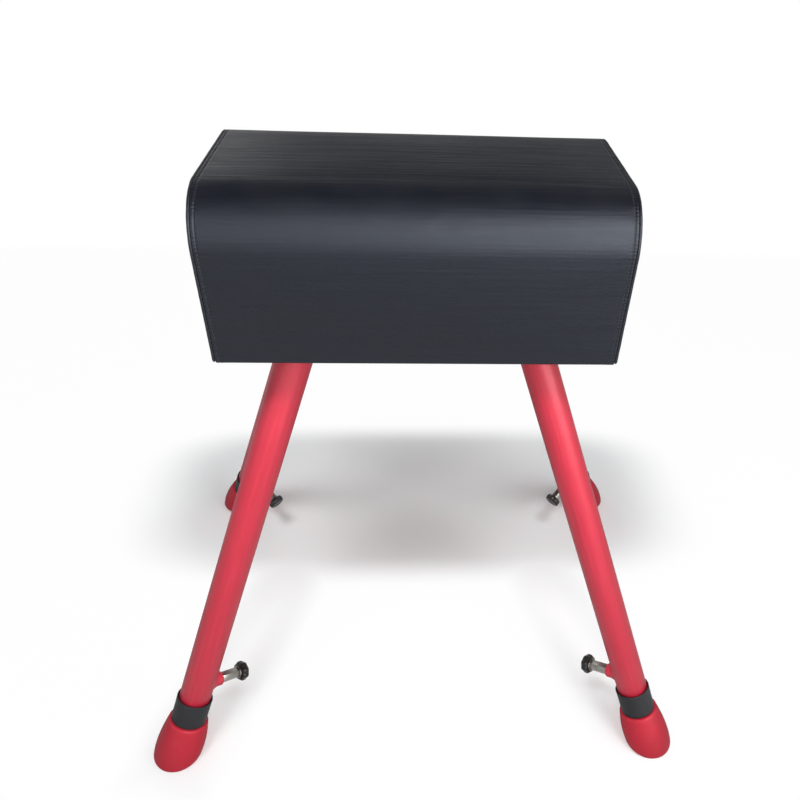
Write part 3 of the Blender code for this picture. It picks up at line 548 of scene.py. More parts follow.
def spun(bm, profile, sides, closed=True):
    """Turn a profile of (radius, height) points once round Z."""
    verts = [bm.verts.new((radius, 0.0, height)) for radius, height in profile]
    pairs = list(zip(verts, verts[1:]))
    if closed:
        pairs.append((verts[-1], verts[0]))
    turned(bm, verts + [bm.edges.new(pair) for pair in pairs], sides)


def prism(bm, sides, radius, depth, place):
    """A closed prism or disc that stands across the Z of its place; returns its points."""
    return bmesh.ops.create_cone(
        bm, cap_ends=True, segments=sides, radius1=radius, radius2=radius, depth=depth, matrix=place
    )["verts"]


def eased(bm, verts, width, segments):
    """Bevel every edge that ends in one of the points."""
    edges = list({edge for vert in verts for edge in vert.link_edges})
    bmesh.ops.bevel(
        bm, geom=edges, offset=width, segments=segments, profile=0.5, affect="EDGES", material=-1
    )


def moved(bm, matrix, verts=None):
    bmesh.ops.transform(bm, matrix=matrix, verts=list(verts or bm.verts))


def raised(height):
    return Matrix.Translation((0.0, 0.0, height))


def wrap_uv(bm, radius):
    """Unroll the piece round Z: metres round it, metres up it."""
    layer = bm.loops.layers.uv.verify()
    for face in bm.faces:
        middle = face.calc_center_median()
        facing = math.atan2(middle.y, middle.x)
        for loop in face.loops:
            turn = math.atan2(loop.vert.co.y, loop.vert.co.x) - facing
            turn = (turn + math.pi) % math.tau - math.pi
            loop[layer].uv = ((facing + turn) * radius, loop.vert.co.z)


# %% [markdown]
# ## The shape of the head's section
# Everything on the head follows one line: from the hem below the front, up the front, over the large
# round, across the top and down the rear. The helper gives the point at a distance along that line,
# measured from the middle of the top, and the direction that points out of the head there.

# %% Section of the head
ROUND_START = HEAD_TOP - HEAD_EDGE_RADIUS
TOP_FLAT = HALF_WIDTH - HEAD_EDGE_RADIUS
EDGE_ARC = HEAD_EDGE_RADIUS * math.pi / 2
SIDE_DROP = HEAD_HEIGHT - HEAD_EDGE_RADIUS - HEM_RADIUS
HEM_ARC = HEM_RADIUS * math.pi / 2
HEM_FLAT = HEM_WIDTH - HEM_RADIUS
SEWN_EDGE = TOP_FLAT + EDGE_ARC + SIDE_DROP


def section_point(run):
    """(y, z, outward y, outward z) at a distance from the middle of the top; the front is negative."""
    side = -1.0 if run < 0 else 1.0
    rest = abs(run)
    if rest <= TOP_FLAT:
        return run, HEAD_TOP, 0.0, 1.0
    rest -= TOP_FLAT
    radius = HEAD_EDGE_RADIUS
    if rest <= EDGE_ARC:
        out_y, out_z = math.sin(rest / radius), math.cos(rest / radius)
        return side * (TOP_FLAT + radius * out_y), ROUND_START + radius * out_z, side * out_y, out_z
    rest -= EDGE_ARC
    if rest <= SIDE_DROP:
        return side * HALF_WIDTH, ROUND_START - rest, side, 0.0
    rest -= SIDE_DROP
    if rest <= HEM_ARC:
        out_y, out_z = math.cos(rest / HEM_RADIUS), -math.sin(rest / HEM_RADIUS)
        y = HALF_WIDTH - HEM_RADIUS + HEM_RADIUS * out_y
        return side * y, STAND_HEIGHT + HEM_RADIUS + HEM_RADIUS * out_z, side * out_y, out_z
    rest -= HEM_ARC
    return side * (HALF_WIDTH - HEM_RADIUS - rest), STAND_HEIGHT, 0.0, -1.0


def evenly(start, end, steps):
    return [start + (end - start) * i / steps for i in range(1, steps + 1)]


half_runs = [0.0]
for length, steps in ((TOP_FLAT, 15), (EDGE_ARC, 24), (SIDE_DROP, 30), (HEM_ARC, 4), (HEM_FLAT, 3)):
    half_runs += evenly(half_runs[-1], half_runs[-1] + length, steps)
RUNS = [-run for run in reversed(half_runs[1:])] + half_runs
print("leather round the head in mm:", round(2000 * RUNS[-1]))

# %% [markdown]
# ## Blowing up the cover
# The cover is stretched over foam, so it is never quite flat: each panel swells a little between the
# seams that hold it. Blender's cloth does that honestly. The sheet's sewn edge is pinned, pressure
# works from behind with gravity off, and after twenty frames the swell is scaled down to a few
# millimetres and kept as the mesh.

# %% Cloth that is blown up
FRAMES_BLOWN = 20
CLOTH = dict(quality=6, mass=0.2, tension_stiffness=30.0, compression_stiffness=30.0)
CLOTH.update(shear_stiffness=20.0, bending_stiffness=8.0, use_pressure=True)
CLOTH.update(uniform_pressure_force=4.0, vertex_group_mass="sewn")


def inflate(sheet, pinned, cap):
    """Blow a sheet up from behind with its pinned points held, and keep at most the capped swell."""
    mesh = sheet.data
    start = [vertex.co.copy() for vertex in mesh.vertices]
    sheet.vertex_groups.new(name="sewn").add(pinned, 1.0, "REPLACE")
    cloth = sheet.modifiers.new("cloth", "CLOTH")
    for name, value in CLOTH.items():
        setattr(cloth.settings, name, value)
    cloth.settings.effector_weights.gravity = 0.0
    cloth.collision_settings.use_collision = False
    cloth.point_cache.frame_end = FRAMES_BLOWN
    for number in range(1, FRAMES_BLOWN + 1):
        scene.frame_set(number)
    shaped = sheet.evaluated_get(bpy.context.evaluated_depsgraph_get()).data.vertices
    swell = [shaped[i].co - place for i, place in enumerate(start)]
    longest = max(step.length for step in swell)
    share = min(1.0, cap / longest)
    for vertex, place, step in zip(mesh.vertices, start, swell):
        vertex.co = place + step * share
    sheet.modifiers.remove(cloth)
    sheet.vertex_groups.clear()
    scene.frame_set(1)
    return longest


# %% Leather after the cloth
def dressed(sheet, thickness):
    """Finish a leather sheet: one subdivision, then its thickness on the inner side."""
    smooth = sheet.modifiers.new("smooth", "SUBSURF")
    smooth.levels = smooth.render_levels = 1
    skin = sheet.modifiers.new("thickness", "SOLIDIFY")
    skin.thickness = thickness
    skin.offset = -1.0
    skin.use_even_offset = True


def pucker(mesh, seams, depth, groove=0.0):
    """Draw the leather into small ripples beside the seam, and into a groove under the stitches."""
    mesh.update()
    normals = [vertex.normal.copy() for vertex in mesh.vertices]
    for vertex, normal, (along, away, _) in zip(mesh.vertices, normals, seams):
        near = max(0.0, min(1.0, (0.015 - away) / 0.010)) * min(1.0, max(0.0, away) / 0.002)
        wave = math.sin(along * 330.0 + 4.0 * noise.noise(Vector((along * 30.0, away * 60.0, 0.0))))
        slack = 0.5 + noise.noise(Vector((along * 9.0, 3.0, away * 20.0)))
        dip = groove * max(0.0, 1.0 - abs(away - STITCH_LINE) / 0.0014)
        vertex.co += normal * (depth * near * wave * slack - dip)
    mesh.update()


def name_seam(mesh, values):
    """Keep for every point how far along the seam it lies and how far away from it."""
    layer = mesh.attributes.new("seam", "FLOAT_VECTOR", "POINT")
    layer.data.foreach_set("vector", [number for value in values for number in value])


# %% [markdown]
# ## The cover over front, top and rear
# The long cover is cut flat and bent over the head, so it is modelled that way: a flat grid whose one
# axis is the length of the head and whose other is the distance along the section. While it is flat it
# gets its UV map, which is then the cut in metres. Its last columns roll down into the end seams.

# %% The long cover
SEAM_X = 0.2924
ROLLED = [(SEAM_X, 0.0), (0.2930, 0.0004), (0.2934, 0.0012), (0.2935, 0.0026)]
closer = (0.2655, 0.2705, 0.2750, 0.2790, 0.2825, 0.2850, 0.2866, 0.2879, 0.2892, 0.2908)
columns = [(0.010 * i, 0.0) for i in range(27)] + [(x, 0.0) for x in closer] + ROLLED
COLUMNS = [(-x, sink) for x, sink in reversed(columns[1:])] + columns


def flat_cover():
    """The cover as a flat grid with its cut as a UV map, before it is bent."""
    bm = bmesh.new()
    across, along = len(RUNS) - 1, len(COLUMNS) - 1
    bmesh.ops.create_grid(bm, x_segments=along, y_segments=across, size=1.0)
    for vert in bm.verts:
        column = round((vert.co.x + 1) / 2 * along)
        row = round((vert.co.y + 1) / 2 * across)
        vert.co = (COLUMNS[column][0], RUNS[row], COLUMNS[column][1])
    layer = bm.loops.layers.uv.verify()
    for face in bm.faces:
        for loop in face.loops:
            loop[layer].uv = loop.vert.co.xy
    return bm


def bent_cover():
    bm = flat_cover()
    seams = []
    pinned = []
    for vert in bm.verts:
        x, run, sink = vert.co
        y, z, out_y, out_z = section_point(run)
        vert.co = (x, y - out_y * sink, z - out_z * sink)
        seams.append((run, SEAM_X - abs(x), 0.0))
        if abs(x) > SEAM_X - 0.0001 or abs(run) > SEWN_EDGE - 0.0001:
            pinned.append(vert.index)
    return bm, seams, pinned


built, seams, pinned = bent_cover()
replaced = ("leather_cover", "foam_padding")
cover = finished(built, "long_cover", leather, "stand", replaced, closed=False)
name_seam(cover.data, seams)
swell = inflate(cover, pinned, 0.0036)
pucker(cover.data, seams, 0.00032, 0.0004)
dressed(cover, LEATHER)
print("long cover:", len(cover.data.vertices), "points, free swell in mm:", round(1000 * swell, 1))

# %% [markdown]
# ## The end covers
# Each end is a flat panel with the head's outline, sewn to the long cover and turned in below the base.
# A grid is drawn into that outline from its four sides, which keeps the faces even right into the
# rounded corners. The free edge is then extruded twice: into the seam above, and under the base below.

# %% Shape of an end cover
ENDS = {"left": -1, "right": 1}
PANEL_INSET = 0.0053
ACROSS, UPWARD = 66, 46
CORNER_RUN = TOP_FLAT + EDGE_ARC / 2
HEM_LINE = STAND_HEIGHT + HEM_RADIUS + 0.0001


def panel_point(run):
    """A point of the panel's outline, as a vector in the plane of the end."""
    y, z, out_y, out_z = section_point(run)
    return Vector((y - out_y * PANEL_INSET, z - out_z * PANEL_INSET))


def into_outline(u, v):
    """Where a point of a unit square lies in the panel's outline."""
    front = panel_point(-SEWN_EDGE + v * (SEWN_EDGE - CORNER_RUN))
    rear = panel_point(SEWN_EDGE - v * (SEWN_EDGE - CORNER_RUN))
    bottom = panel_point(-SEWN_EDGE).lerp(panel_point(SEWN_EDGE), u)
    top = panel_point(CORNER_RUN * (2 * u - 1))
    chord = panel_point(-CORNER_RUN).lerp(panel_point(CORNER_RUN), u)
    return front.lerp(rear, u) + bottom.lerp(top, v) - bottom.lerp(chord, v)


def seam_near(y, z):
    """How far along the seam and away from it a point of the end lies."""
    side = -1.0 if y < 0 else 1.0
    over, up = abs(y) - TOP_FLAT, z - ROUND_START
    if over > 0 and up > 0:
        run = TOP_FLAT + HEAD_EDGE_RADIUS * math.atan2(over, up)
        return side * run, HEAD_EDGE_RADIUS - math.hypot(over, up) - PANEL_INSET
    from_top, from_side = HEAD_TOP - z, HALF_WIDTH - abs(y)
    if from_top < from_side:
        return y, from_top - PANEL_INSET
    return side * (TOP_FLAT + EDGE_ARC - up), from_side - PANEL_INSET


def turn_under(bm, edges, side):
    """Extrude the lower edge round a small radius and in below the base board."""
    steps = [(1 - math.cos(turn), math.sin(turn)) for turn in (0.52, 1.05, math.pi / 2)]
    steps = [(HEM_RADIUS * inward, HEM_RADIUS * down) for inward, down in steps]
    steps += [(HEM_RADIUS + reach, HEM_RADIUS) for reach in evenly(0.0, HEM_FLAT, 3)]
    last = (0.0, 0.0)
    narrow = (HALF_WIDTH - HEM_WIDTH - 2 * GAP) / (HALF_WIDTH - PANEL_INSET)
    for number, (inward, down) in enumerate(steps):
        verts, edges = extruded(bm, edges)
        bmesh.ops.translate(bm, verts=verts, vec=(-side * (inward - last[0]), 0.0, last[1] - down))
        if number == 2:
            bmesh.ops.scale(bm, verts=verts, vec=(1.0, narrow, 1.0))
        last = (inward, down)


# %% The end covers
def end_cover(side):
    bm = bmesh.new()
    bmesh.ops.create_grid(bm, x_segments=ACROSS, y_segments=UPWARD, size=1.0)
    for vert in bm.verts:
        y, z = into_outline((vert.co.x + 1) / 2, (vert.co.y + 1) / 2)
        vert.co = (side * HALF_LENGTH, y, z)
    if side < 0:
        bmesh.ops.reverse_faces(bm, faces=bm.faces)
    rim = [edge for edge in bm.edges if edge.is_boundary]
    below = [edge for edge in rim if max(vert.co.z for vert in edge.verts) < HEM_LINE]
    for vert in extruded(bm, [edge for edge in rim if edge not in below])[0]:
        vert.co.x -= side * 0.0024
        vert.co.y *= 1.004
        vert.co.z += 0.0006 if vert.co.z > ROUND_START else 0.0
    turn_under(bm, below, side)
    layer = bm.loops.layers.uv.verify()
    for face in bm.faces:
        for loop in face.loops:
            place = loop.vert.co
            loop[layer].uv = (place.y, place.z + abs(place.x) - HALF_LENGTH)
    return bm


def is_sewn(vert, away):
    rolled_in = abs(vert.co.x) < HALF_LENGTH - 0.00001 or vert.co.z < HEM_LINE
    return vert.is_boundary or rolled_in or away < 0.0005


for name, side in ENDS.items():
    built = end_cover(side)
    built.verts.index_update()
    seams = [(*seam_near(vert.co.y, vert.co.z), 0.0) for vert in built.verts]
    pinned = [vert.index for vert, seam in zip(built.verts, seams) if is_sewn(vert, seam[1])]
    replaced = (name + "_end_panel", name + "_end_foam")
    panel = finished(built, name + "_end_cover", leather, "stand", replaced, closed=False)
    name_seam(panel.data, seams)
    swell = inflate(panel, pinned, 0.0042)
    pucker(panel.data, seams, 0.00045)
    dressed(panel, LEATHER)
    print(panel.name, "free swell in mm:", round(1000 * swell, 1))

# %% [markdown]
# ## The welts
# A cord covered in leather is sewn into the seam round each end. It is a small circle drawn along a
# route, and the route is only straights and quarter turns, so extruding and spinning the circle makes
# it exactly. A little noise afterwards gives the cord the unevenness of a hand-guided seam.


# %% Welts
def drawn(bm, edges, vector, steps):
    """Extrude a ring of edges along a vector in equal steps and return the last ring."""
    for _ in range(steps):
        verts, edges = extruded(bm, edges)
        bmesh.ops.translate(bm, verts=verts, vec=Vector(vector) / steps)
    return edges


def turned_over(bm, edges, centre):
    """Spin a ring of edges a quarter turn about an axis along the head; return the last ring."""
    verts = list({vert for edge in edges for vert in edge.verts})
    return edges_of(turned(bm, verts + edges, 28, -math.pi / 2, centre, (1, 0, 0), merge=False))


def welt(side):
    bm = bmesh.new()
    x, y = side * (HALF_LENGTH - WELT_RADIUS), HALF_WIDTH - WELT_RADIUS
    low = STAND_HEIGHT + 0.0022
    start = Matrix.Translation((x, -y, low))
    bmesh.ops.create_circle(bm, cap_ends=False, radius=WELT_RADIUS, segments=12, matrix=start)
    edges = drawn(bm, list(bm.edges), (0, 0, ROUND_START - low), 60)
    edges = turned_over(bm, edges, (x, -TOP_FLAT, ROUND_START))
    edges = drawn(bm, edges, (0, 2 * TOP_FLAT, 0), 44)
    edges = turned_over(bm, edges, (x, TOP_FLAT, ROUND_START))
    drawn(bm, edges, (0, 0, low - ROUND_START), 60)
    for vert in bm.verts:
        if vert.is_boundary:
            middle = Vector((x, math.copysign(y, vert.co.y), vert.co.z))
            vert.co = middle + 0.45 * (vert.co - middle)
    bmesh.ops.holes_fill(bm, edges=[edge for edge in bm.edges if edge.is_boundary], sides=0)
    bm.normal_update()
    for vert in bm.verts:
        vert.co += vert.normal * 0.00022 * noise.noise(vert.co * 120.0)
    return bm


for name, side in ENDS.items():
    cord = finished(welt(side), name + "_piping", welt_leather, "stand", (name + "_welt",))
    print(cord.name, "points:", len(cord.data.vertices))

# %% [markdown]
# ## Stitches
# One row of stitches runs beside each welt on the long cover. A stitch is a tiny stretched ball with
# twenty faces, and a hundred and thirty-six of them follow the seam. Each is set on the swollen leather
# by sending a ray down to the finished cover.

# %% Stitches
STITCH_PITCH = 0.0056
STITCH_DEPTH = 0.00018
STITCH_SHAPE = Matrix.Rotation(0.09, 4, "Z") @ Matrix.Diagonal((0.00055, 0.0021, 0.00050, 1.0))
cover_tree = BVHTree.FromObject(cover, bpy.context.evaluated_depsgraph_get())


def stitch_row(x):
    bm = bmesh.new()
    count = int(2 * SEWN_EDGE / STITCH_PITCH)
    for i in range(count + 1):
        y, z, out_y, out_z = section_point(-SEWN_EDGE + 2 * SEWN_EDGE * i / count)
        outward = Vector((0.0, out_y, out_z))
        spot = cover_tree.ray_cast(Vector((x, y, z)) + outward * 0.02, -outward)[0]
        along = Vector((0.0, -out_z, out_y))
        turn = axes_at(spot - outward * STITCH_DEPTH, Vector((1, 0, 0)), along, outward)
        bmesh.ops.create_icosphere(bm, subdivisions=1, radius=1.0, matrix=turn @ STITCH_SHAPE)
    return bm


for name, side in ENDS.items():
    built = stitch_row(side * (SEAM_X - STITCH_LINE))
    row = finished(built, name + "_stitches", thread, "stand")
    print(row.name, "faces:", len(row.data.polygons))

# %% [markdown]
# ## Staples under the head
# The hems are stapled to the base board from below. A staple is a short flat wire, so it is a stretched
# cube with its edges eased, and a row of them runs down the middle of each hem.

# %% Staples
STAPLE_PITCH, STAPLE_INSET = 0.03, 0.015
STAPLE = Matrix.Diagonal((0.0100, 0.0011, 0.0008, 1.0))


def staple_rows():
    bm = bmesh.new()
    places = []
    for side in (-1, 1):
        x, y = side * (HALF_LENGTH - STAPLE_INSET), side * (HALF_WIDTH - STAPLE_INSET)
        places += [(-0.27 + STAPLE_PITCH * i, y, 0.0) for i in range(19)]
        places += [(x, -0.12 + STAPLE_PITCH * i, math.pi / 2) for i in range(9)]
    for x, y, turn in places:
        askew = turn + 0.12 * noise.noise(Vector((x * 50.0, y * 50.0, 0.0)))
        place = Matrix.Translation((x, y, STAND_HEIGHT - 0.0001)) @ Matrix.Rotation(askew, 4, "Z")
        wire = bmesh.ops.create_cube(bm, size=1.0, matrix=place @ STAPLE)
        eased(bm, wire["verts"], 0.00025, 1)
    return bm


staples = finished(staple_rows(), "hem_staples", zinc, "stand", sharp=60.0)
print("staple faces:", len(staples.data.polygons))

# %% [markdown]
# ## The CAD nodes that stay
# The boards, bars, flanges, bushes, plugs and clamp pads already have their true shape. They keep it,
# and only their material slots are given a finish.

# %% Finishes of the CAD nodes
LEGS = {"front_left": (-1, -1), "front_right": (1, -1), "rear_left": (-1, 1), "rear_right": (1, 1)}
KEPT = {f"core_{place}_board": plywood for place in ("top", "front", "rear", "left", "right")}
KEPT.update({"base_board": plywood, "left_stud_bar": zinc, "right_stud_bar": zinc})
for leg in LEGS:
    KEPT[leg + "_flange_plate"] = paint_red
    KEPT[leg + "_guide_bush"] = KEPT[leg + "_guide_plug"] = nylon
    KEPT[leg + "_clamp_pad"] = brass
for name, material in KEPT.items():
    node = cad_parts[name]
    node.data.materials.clear()
    node.data.materials.append(material)
print("CAD nodes with a new finish:", len(KEPT))

# %% [markdown]
# ## The frame of a leg
# A leg is modelled upright, with Z up its tube and X towards the middle of the buck, and then moved to
# its place by one matrix. The clamp has a frame of its own, whose Z points along the screw.


# %% Leg frames
def leg_frame(side_x, side_y):
    top = Vector((side_x * LEG_TOP[0], side_y * LEG_TOP[1], STAND_HEIGHT))
    foot = Vector((side_x * LEG_FOOT[0], side_y * LEG_FOOT[1], 0.0))
    up = (top - foot).normalized()
    inward = Vector((up.x, up.y, 0.0)).normalized()
    across = (inward - up * inward.dot(up)).normalized()
    return axes_at(foot, across, up.cross(across), up)


FRAMES = {leg: leg_frame(*sides) for leg, sides in LEGS.items()}
CLAMP_TURN = raised(CLAMP_HEIGHT) @ Matrix.Rotation(math.pi / 2, 4, "Y")


def on_each_leg(build, kind, material, body, node=None, local=None, sharp=38.0):
    """Build the same piece for all four legs, each moved into its own frame."""
    for leg, matrix in FRAMES.items():
        bm = build()
        moved(bm, matrix @ local if local else matrix)
        replaced = (f"{leg}_{node}",) if node else ()
        piece = finished(bm, f"{leg}_{kind}", material, body.format(leg), replaced, sharp=sharp)
    print(kind, "on four legs, faces each:", len(piece.data.polygons))


# %% [markdown]
# ## The outer tubes and their welds
# Each outer tube is a turned wall whose lower rim is rounded over and whose upper end is cut level under
# the flange, where a weld runs round it. A weld is a torus whose thickness swells and shrinks like a
# row of overlapping drops.


# %% Outer tubes
def outer_tube():
    bm = bmesh.new()
    low = FOOT_LENGTH + GAP + COLLAR_BASE + 2 * GAP + 0.002
    high = FLANGE_BOTTOM * UP_LEG + 0.06
    rim = [(OUTER_RADIUS - 0.0010, low), (OUTER_RADIUS - 0.0003, low + 0.0003)]
    rim += [(OUTER_RADIUS, low + 0.0010), (OUTER_RADIUS, high)]
    spun(bm, [(OUTER_BORE, high), (OUTER_BORE, low)] + rim, 64)
    wrap_uv(bm, OUTER_RADIUS)
    cut = bmesh.ops.bisect_plane(
        bm,
        geom=list(bm.verts) + list(bm.edges) + list(bm.faces),
        plane_co=(0.0, 0.0, (FLANGE_BOTTOM - GAP) * UP_LEG),
        plane_no=(-math.sin(SPLAY), 0.0, math.cos(SPLAY)),
        clear_outer=True,
    )
    bmesh.ops.bridge_loops(bm, edges=edges_of(cut["geom_cut"]))
    return bm


on_each_leg(outer_tube, "tube", tube_red, "stand", "outer_tube")

# %% Welds
WELD_RADIUS = OUTER_RADIUS + 0.0004
WELD_THICKNESS = 0.0030
WELD_DROPS = 52


def flange_weld():
    bm = bmesh.new()
    upright = Matrix.Translation((WELD_RADIUS, 0.0, 0.0)) @ Matrix.Rotation(math.pi / 2, 4, "X")
    bmesh.ops.create_circle(bm, cap_ends=False, radius=WELD_THICKNESS, segments=10, matrix=upright)
    turned(bm, list(bm.verts) + list(bm.edges), 5 * WELD_DROPS)
    for vert in bm.verts:
        angle = math.atan2(vert.co.y, vert.co.x)
        middle = Vector((math.cos(angle), math.sin(angle), 0.0)) * WELD_RADIUS
        drop = 0.10 * math.cos(WELD_DROPS * angle) + 0.12 * noise.noise(vert.co * 90.0)
        vert.co = middle + (vert.co - middle) * (1.0 + drop)
    tilt = Matrix.Rotation(-SPLAY, 4, "Y") @ Matrix.Diagonal((UP_LEG, 1.0, 1.0, 1.0))
    moved(bm, raised((FLANGE_BOTTOM - 0.0012) * UP_LEG) @ tilt)
    return bm


on_each_leg(flange_weld, "flange_weld", paint_red, "stand")

# %% [markdown]
# ## The clamp boss
# The boss that holds the clamp screw is welded to the side of the tube. It is turned about the screw,
# and then its foot is pushed back onto the round of the tube, so the fillet follows the joint.

# %% Clamp bosses
BOSS = [
    # radius, height along the screw, share that follows the tube
    (0.0063, 0.0470, 0.0), (0.0118, 0.0470, 0.0), (0.0129, 0.0466, 0.0), (0.0135, 0.0455, 0.0),
    (0.0135, 0.0385, 0.05), (0.0137, 0.0355, 0.25), (0.0144, 0.0325, 0.60), (0.0158, 0.0300, 0.90),
    (0.0178, 0.0284, 1.0), (0.0182, 0.0275, 1.0), (0.0073, 0.0275, 1.0), (0.0073, 0.0416, 0.0),
    (0.0063, 0.0416, 0.0),
]


def clamp_boss():
    bm = bmesh.new()
    spun(bm, [(radius, height) for radius, height, _ in BOSS], 72)
    shares = {round(height, 5): share for _, height, share in BOSS}
    for vert in bm.verts:
        share = shares[round(vert.co.z, 5)]
        angle = math.atan2(vert.co.y, vert.co.x)
        reach = math.hypot(vert.co.x, vert.co.y)
        vert.co.z -= share * (OUTER_RADIUS - math.sqrt(OUTER_RADIUS**2 - vert.co.y**2))
        if reach > 0.0136 and share > 0.2:
            ripple = 0.00022 * share * math.cos(26 * angle) + 0.0003 * noise.noise(vert.co * 160.0)
            vert.co += Vector((math.cos(angle), math.sin(angle), 0.5)) * ripple
    return bm


on_each_leg(clamp_boss, "boss", paint_red, "stand", "clamp_boss", CLAMP_TURN)

# %% [markdown]
# ## The clamp screw
# The screw has a threaded end in the boss, a hexagonal shank for a spanner and a washer face against
# the knob. Spinning a small tooth while it climbs by one pitch a turn gives a true thread.

# %% Clamp screws
THREAD_PITCH, THREAD_TURNS, THREAD_LOW = 0.002, 6, 0.0362
THREAD_ROOT, THREAD_CREST = 0.00495, 0.00595
SHANK_WIDTH, SHANK_LENGTH, SHANK_LOW = 0.0190, 0.0370, 0.0480
THREAD_CORE = [(0.0, 0.0503), (0.00490, 0.0503), (0.00490, 0.0362), (0.0042, 0.0356), (0.0, 0.0356)]
WASHER_FACE = [(0.0, 0.0870), (0.0116, 0.0870), (0.0120, 0.0866)]
WASHER_FACE += [(0.0120, 0.0854), (0.0116, 0.0850), (0.0, 0.0850)]
KNOB_PIN = [(0.0, 0.0963), (0.0050, 0.0963), (0.0050, 0.0868), (0.0, 0.0868)]


def clamp_screw():
    bm = bmesh.new()
    profile = ((THREAD_ROOT, 0), (THREAD_CREST, THREAD_PITCH / 2), (THREAD_ROOT, THREAD_PITCH))
    tooth = [bm.verts.new((radius, 0.0, THREAD_LOW + rise)) for radius, rise in profile]
    edges = [bm.edges.new(pair) for pair in zip(tooth, tooth[1:])]
    turn = {"angle": math.tau * THREAD_TURNS, "climb": THREAD_PITCH / 20, "merge": False}
    turned(bm, tooth + edges, 20 * THREAD_TURNS, **turn)
    spun(bm, THREAD_CORE, 20, closed=False)
    middle = raised(SHANK_LOW + SHANK_LENGTH / 2)
    eased(bm, prism(bm, 6, SHANK_WIDTH / math.sqrt(3), SHANK_LENGTH, middle), 0.0007, 2)
    spun(bm, WASHER_FACE, 40, closed=False)
    spun(bm, KNOB_PIN, 20, closed=False)
    wrap_uv(bm, SHANK_WIDTH / 2)
    return bm


on_each_leg(clamp_screw, "screw", steel, "{}_screw", "clamp_screw", CLAMP_TURN, sharp=30.0)

# %% [markdown]
# ## The knob
# The black knob is a stack of rings whose outline has eight shallow flutes. The flutes are deepest at
# the rim and die out towards the domed face, which ends in a shallow dish.

# %% Knobs
FLUTES = 8
KNOB = [
    # height above the washer, radius, depth of the flutes
    (0.0003, 0.0052, 0.0), (0.0003, 0.0118, 0.0), (0.0008, 0.0140, 0.0003), (0.0020, 0.0167, 0.0012),
    (0.0038, 0.0183, 0.0015), (0.0055, 0.0189, 0.0017), (0.0080, 0.0190, 0.0018),
    (0.0108, 0.0189, 0.0017), (0.0128, 0.0181, 0.0015), (0.0142, 0.0163, 0.0010),
    (0.0149, 0.0138, 0.0005), (0.0151, 0.0112, 0.0), (0.0152, 0.0096, 0.0), (0.0147, 0.0088, 0.0),
    (0.0144, 0.0070, 0.0), (0.0145, 0.0020, 0.0),
]


def ring_stack(rings, segments, shape=None):
    """Join circles, given as (matrix, radius), into one skin that is closed at both ends."""
    bm = bmesh.new()
    ends = []
    for number, (matrix, radius) in enumerate(rings):
        verts = bmesh.ops.create_circle(bm, cap_ends=False, radius=radius, segments=segments)["verts"]
        if shape:
            shape(verts, number)
        moved(bm, matrix, verts)
        edges = list({edge for vert in verts for edge in vert.link_edges if edge.is_wire})
        if ends:
            bmesh.ops.bridge_loops(bm, edges=ends[-1] + edges)
        ends.append(edges)
    for edges in (ends[0], ends[-1]):
        bmesh.ops.edgeloop_fill(bm, edges=edges)
    return bm


def flute(verts, number):
    radius, depth = KNOB[number][1:]
    for vert in verts:
        angle = math.atan2(vert.co.y, vert.co.x)
        vert.co *= (radius - depth * (1 - math.cos(FLUTES * angle)) / 2) / radius


def knob():
    return ring_stack([(raised(KNOB_SEAT + height), radius) for height, radius, _ in KNOB], 96, flute)


on_each_leg(knob, "knob", knob_plastic, "{}_screw", "clamp_knob", CLAMP_TURN)

# %% [markdown]
# ## The sliding inner tubes and the rubber collars
# The inner tube slides in the outer one, and its lower end stands in the foot. The collar is a rubber
# cup on the inner tube: a thick floor, and a thin wall that the outer tube's end comes down into.


# %% Inner tubes
def inner_tube():
    bm = bmesh.new()
    rim = 0.0006
    profile = [(INNER_BORE, INNER_HIGH), (INNER_BORE, INNER_LOW)]
    profile += [(INNER_RADIUS - rim, INNER_LOW), (INNER_RADIUS, INNER_LOW + rim)]
    profile += [(INNER_RADIUS, INNER_HIGH - rim), (INNER_RADIUS - rim, INNER_HIGH)]
    spun(bm, profile, 56)
    wrap_uv(bm, INNER_RADIUS)
    return bm


on_each_leg(inner_tube, "slide", marked_zinc, "{}_lower_leg", "inner_tube")

# %% Collars
COLLAR_MOUTH = [(0.0, 0.0010), (0.0003, 0.0003), (0.0009, 0.0)]
COLLAR_LIP = [(-0.0006, 0.0001), (-0.0001, 0.0006), (0.0002, 0.0018), (0.0, 0.0040)]
COLLAR_FOOT = [(0.0, 0.0030), (-0.0002, 0.0010), (-0.0010, 0.0)]


def collar():
    bm = bmesh.new()
    low = FOOT_LENGTH + GAP
    high, floor = low + COLLAR_LENGTH, low + COLLAR_BASE
    profile = [(INNER_RADIUS + GAP, low), (INNER_RADIUS + GAP, floor), (COLLAR_BORE, floor)]
    profile += [(COLLAR_BORE + out, high - down) for out, down in COLLAR_MOUTH]
    profile += [(COLLAR_RADIUS + out, high - down) for out, down in COLLAR_LIP]
    profile.append((COLLAR_RADIUS - 0.0003, (low + high) / 2))
    profile += [(COLLAR_RADIUS + out, low + up) for out, up in COLLAR_FOOT]
    spun(bm, profile, 72)
    return bm


on_each_leg(collar, "rubber_collar", rubber, "{}_lower_leg", "collar")

# %% [markdown]
# ## The feet
# A foot grows out of the collar and flares to a level sole, a little like a hoof. Its sections are
# circles that turn step by step from square to the tube to flat on the floor, and bridging them in
# order gives a smooth skin. The socket for the tube and the rim of the sole are rings of the same skin.

# %% Feet
FOOT_TOP = COLLAR_RADIUS + 0.004
FOOT_SHOULDER = FOOT_LENGTH - 0.0016
FOOT_RADIUS = 0.0457
FOOT_LEAN = -0.003
FLARE_STEPS = 14
SOLE = [(0.0052, 0.0455), (0.0030, 0.0449), (0.0012, 0.0437), (0.0003, 0.0424)]
SOLE += [(0.0, 0.0415), (0.0, 0.006)]


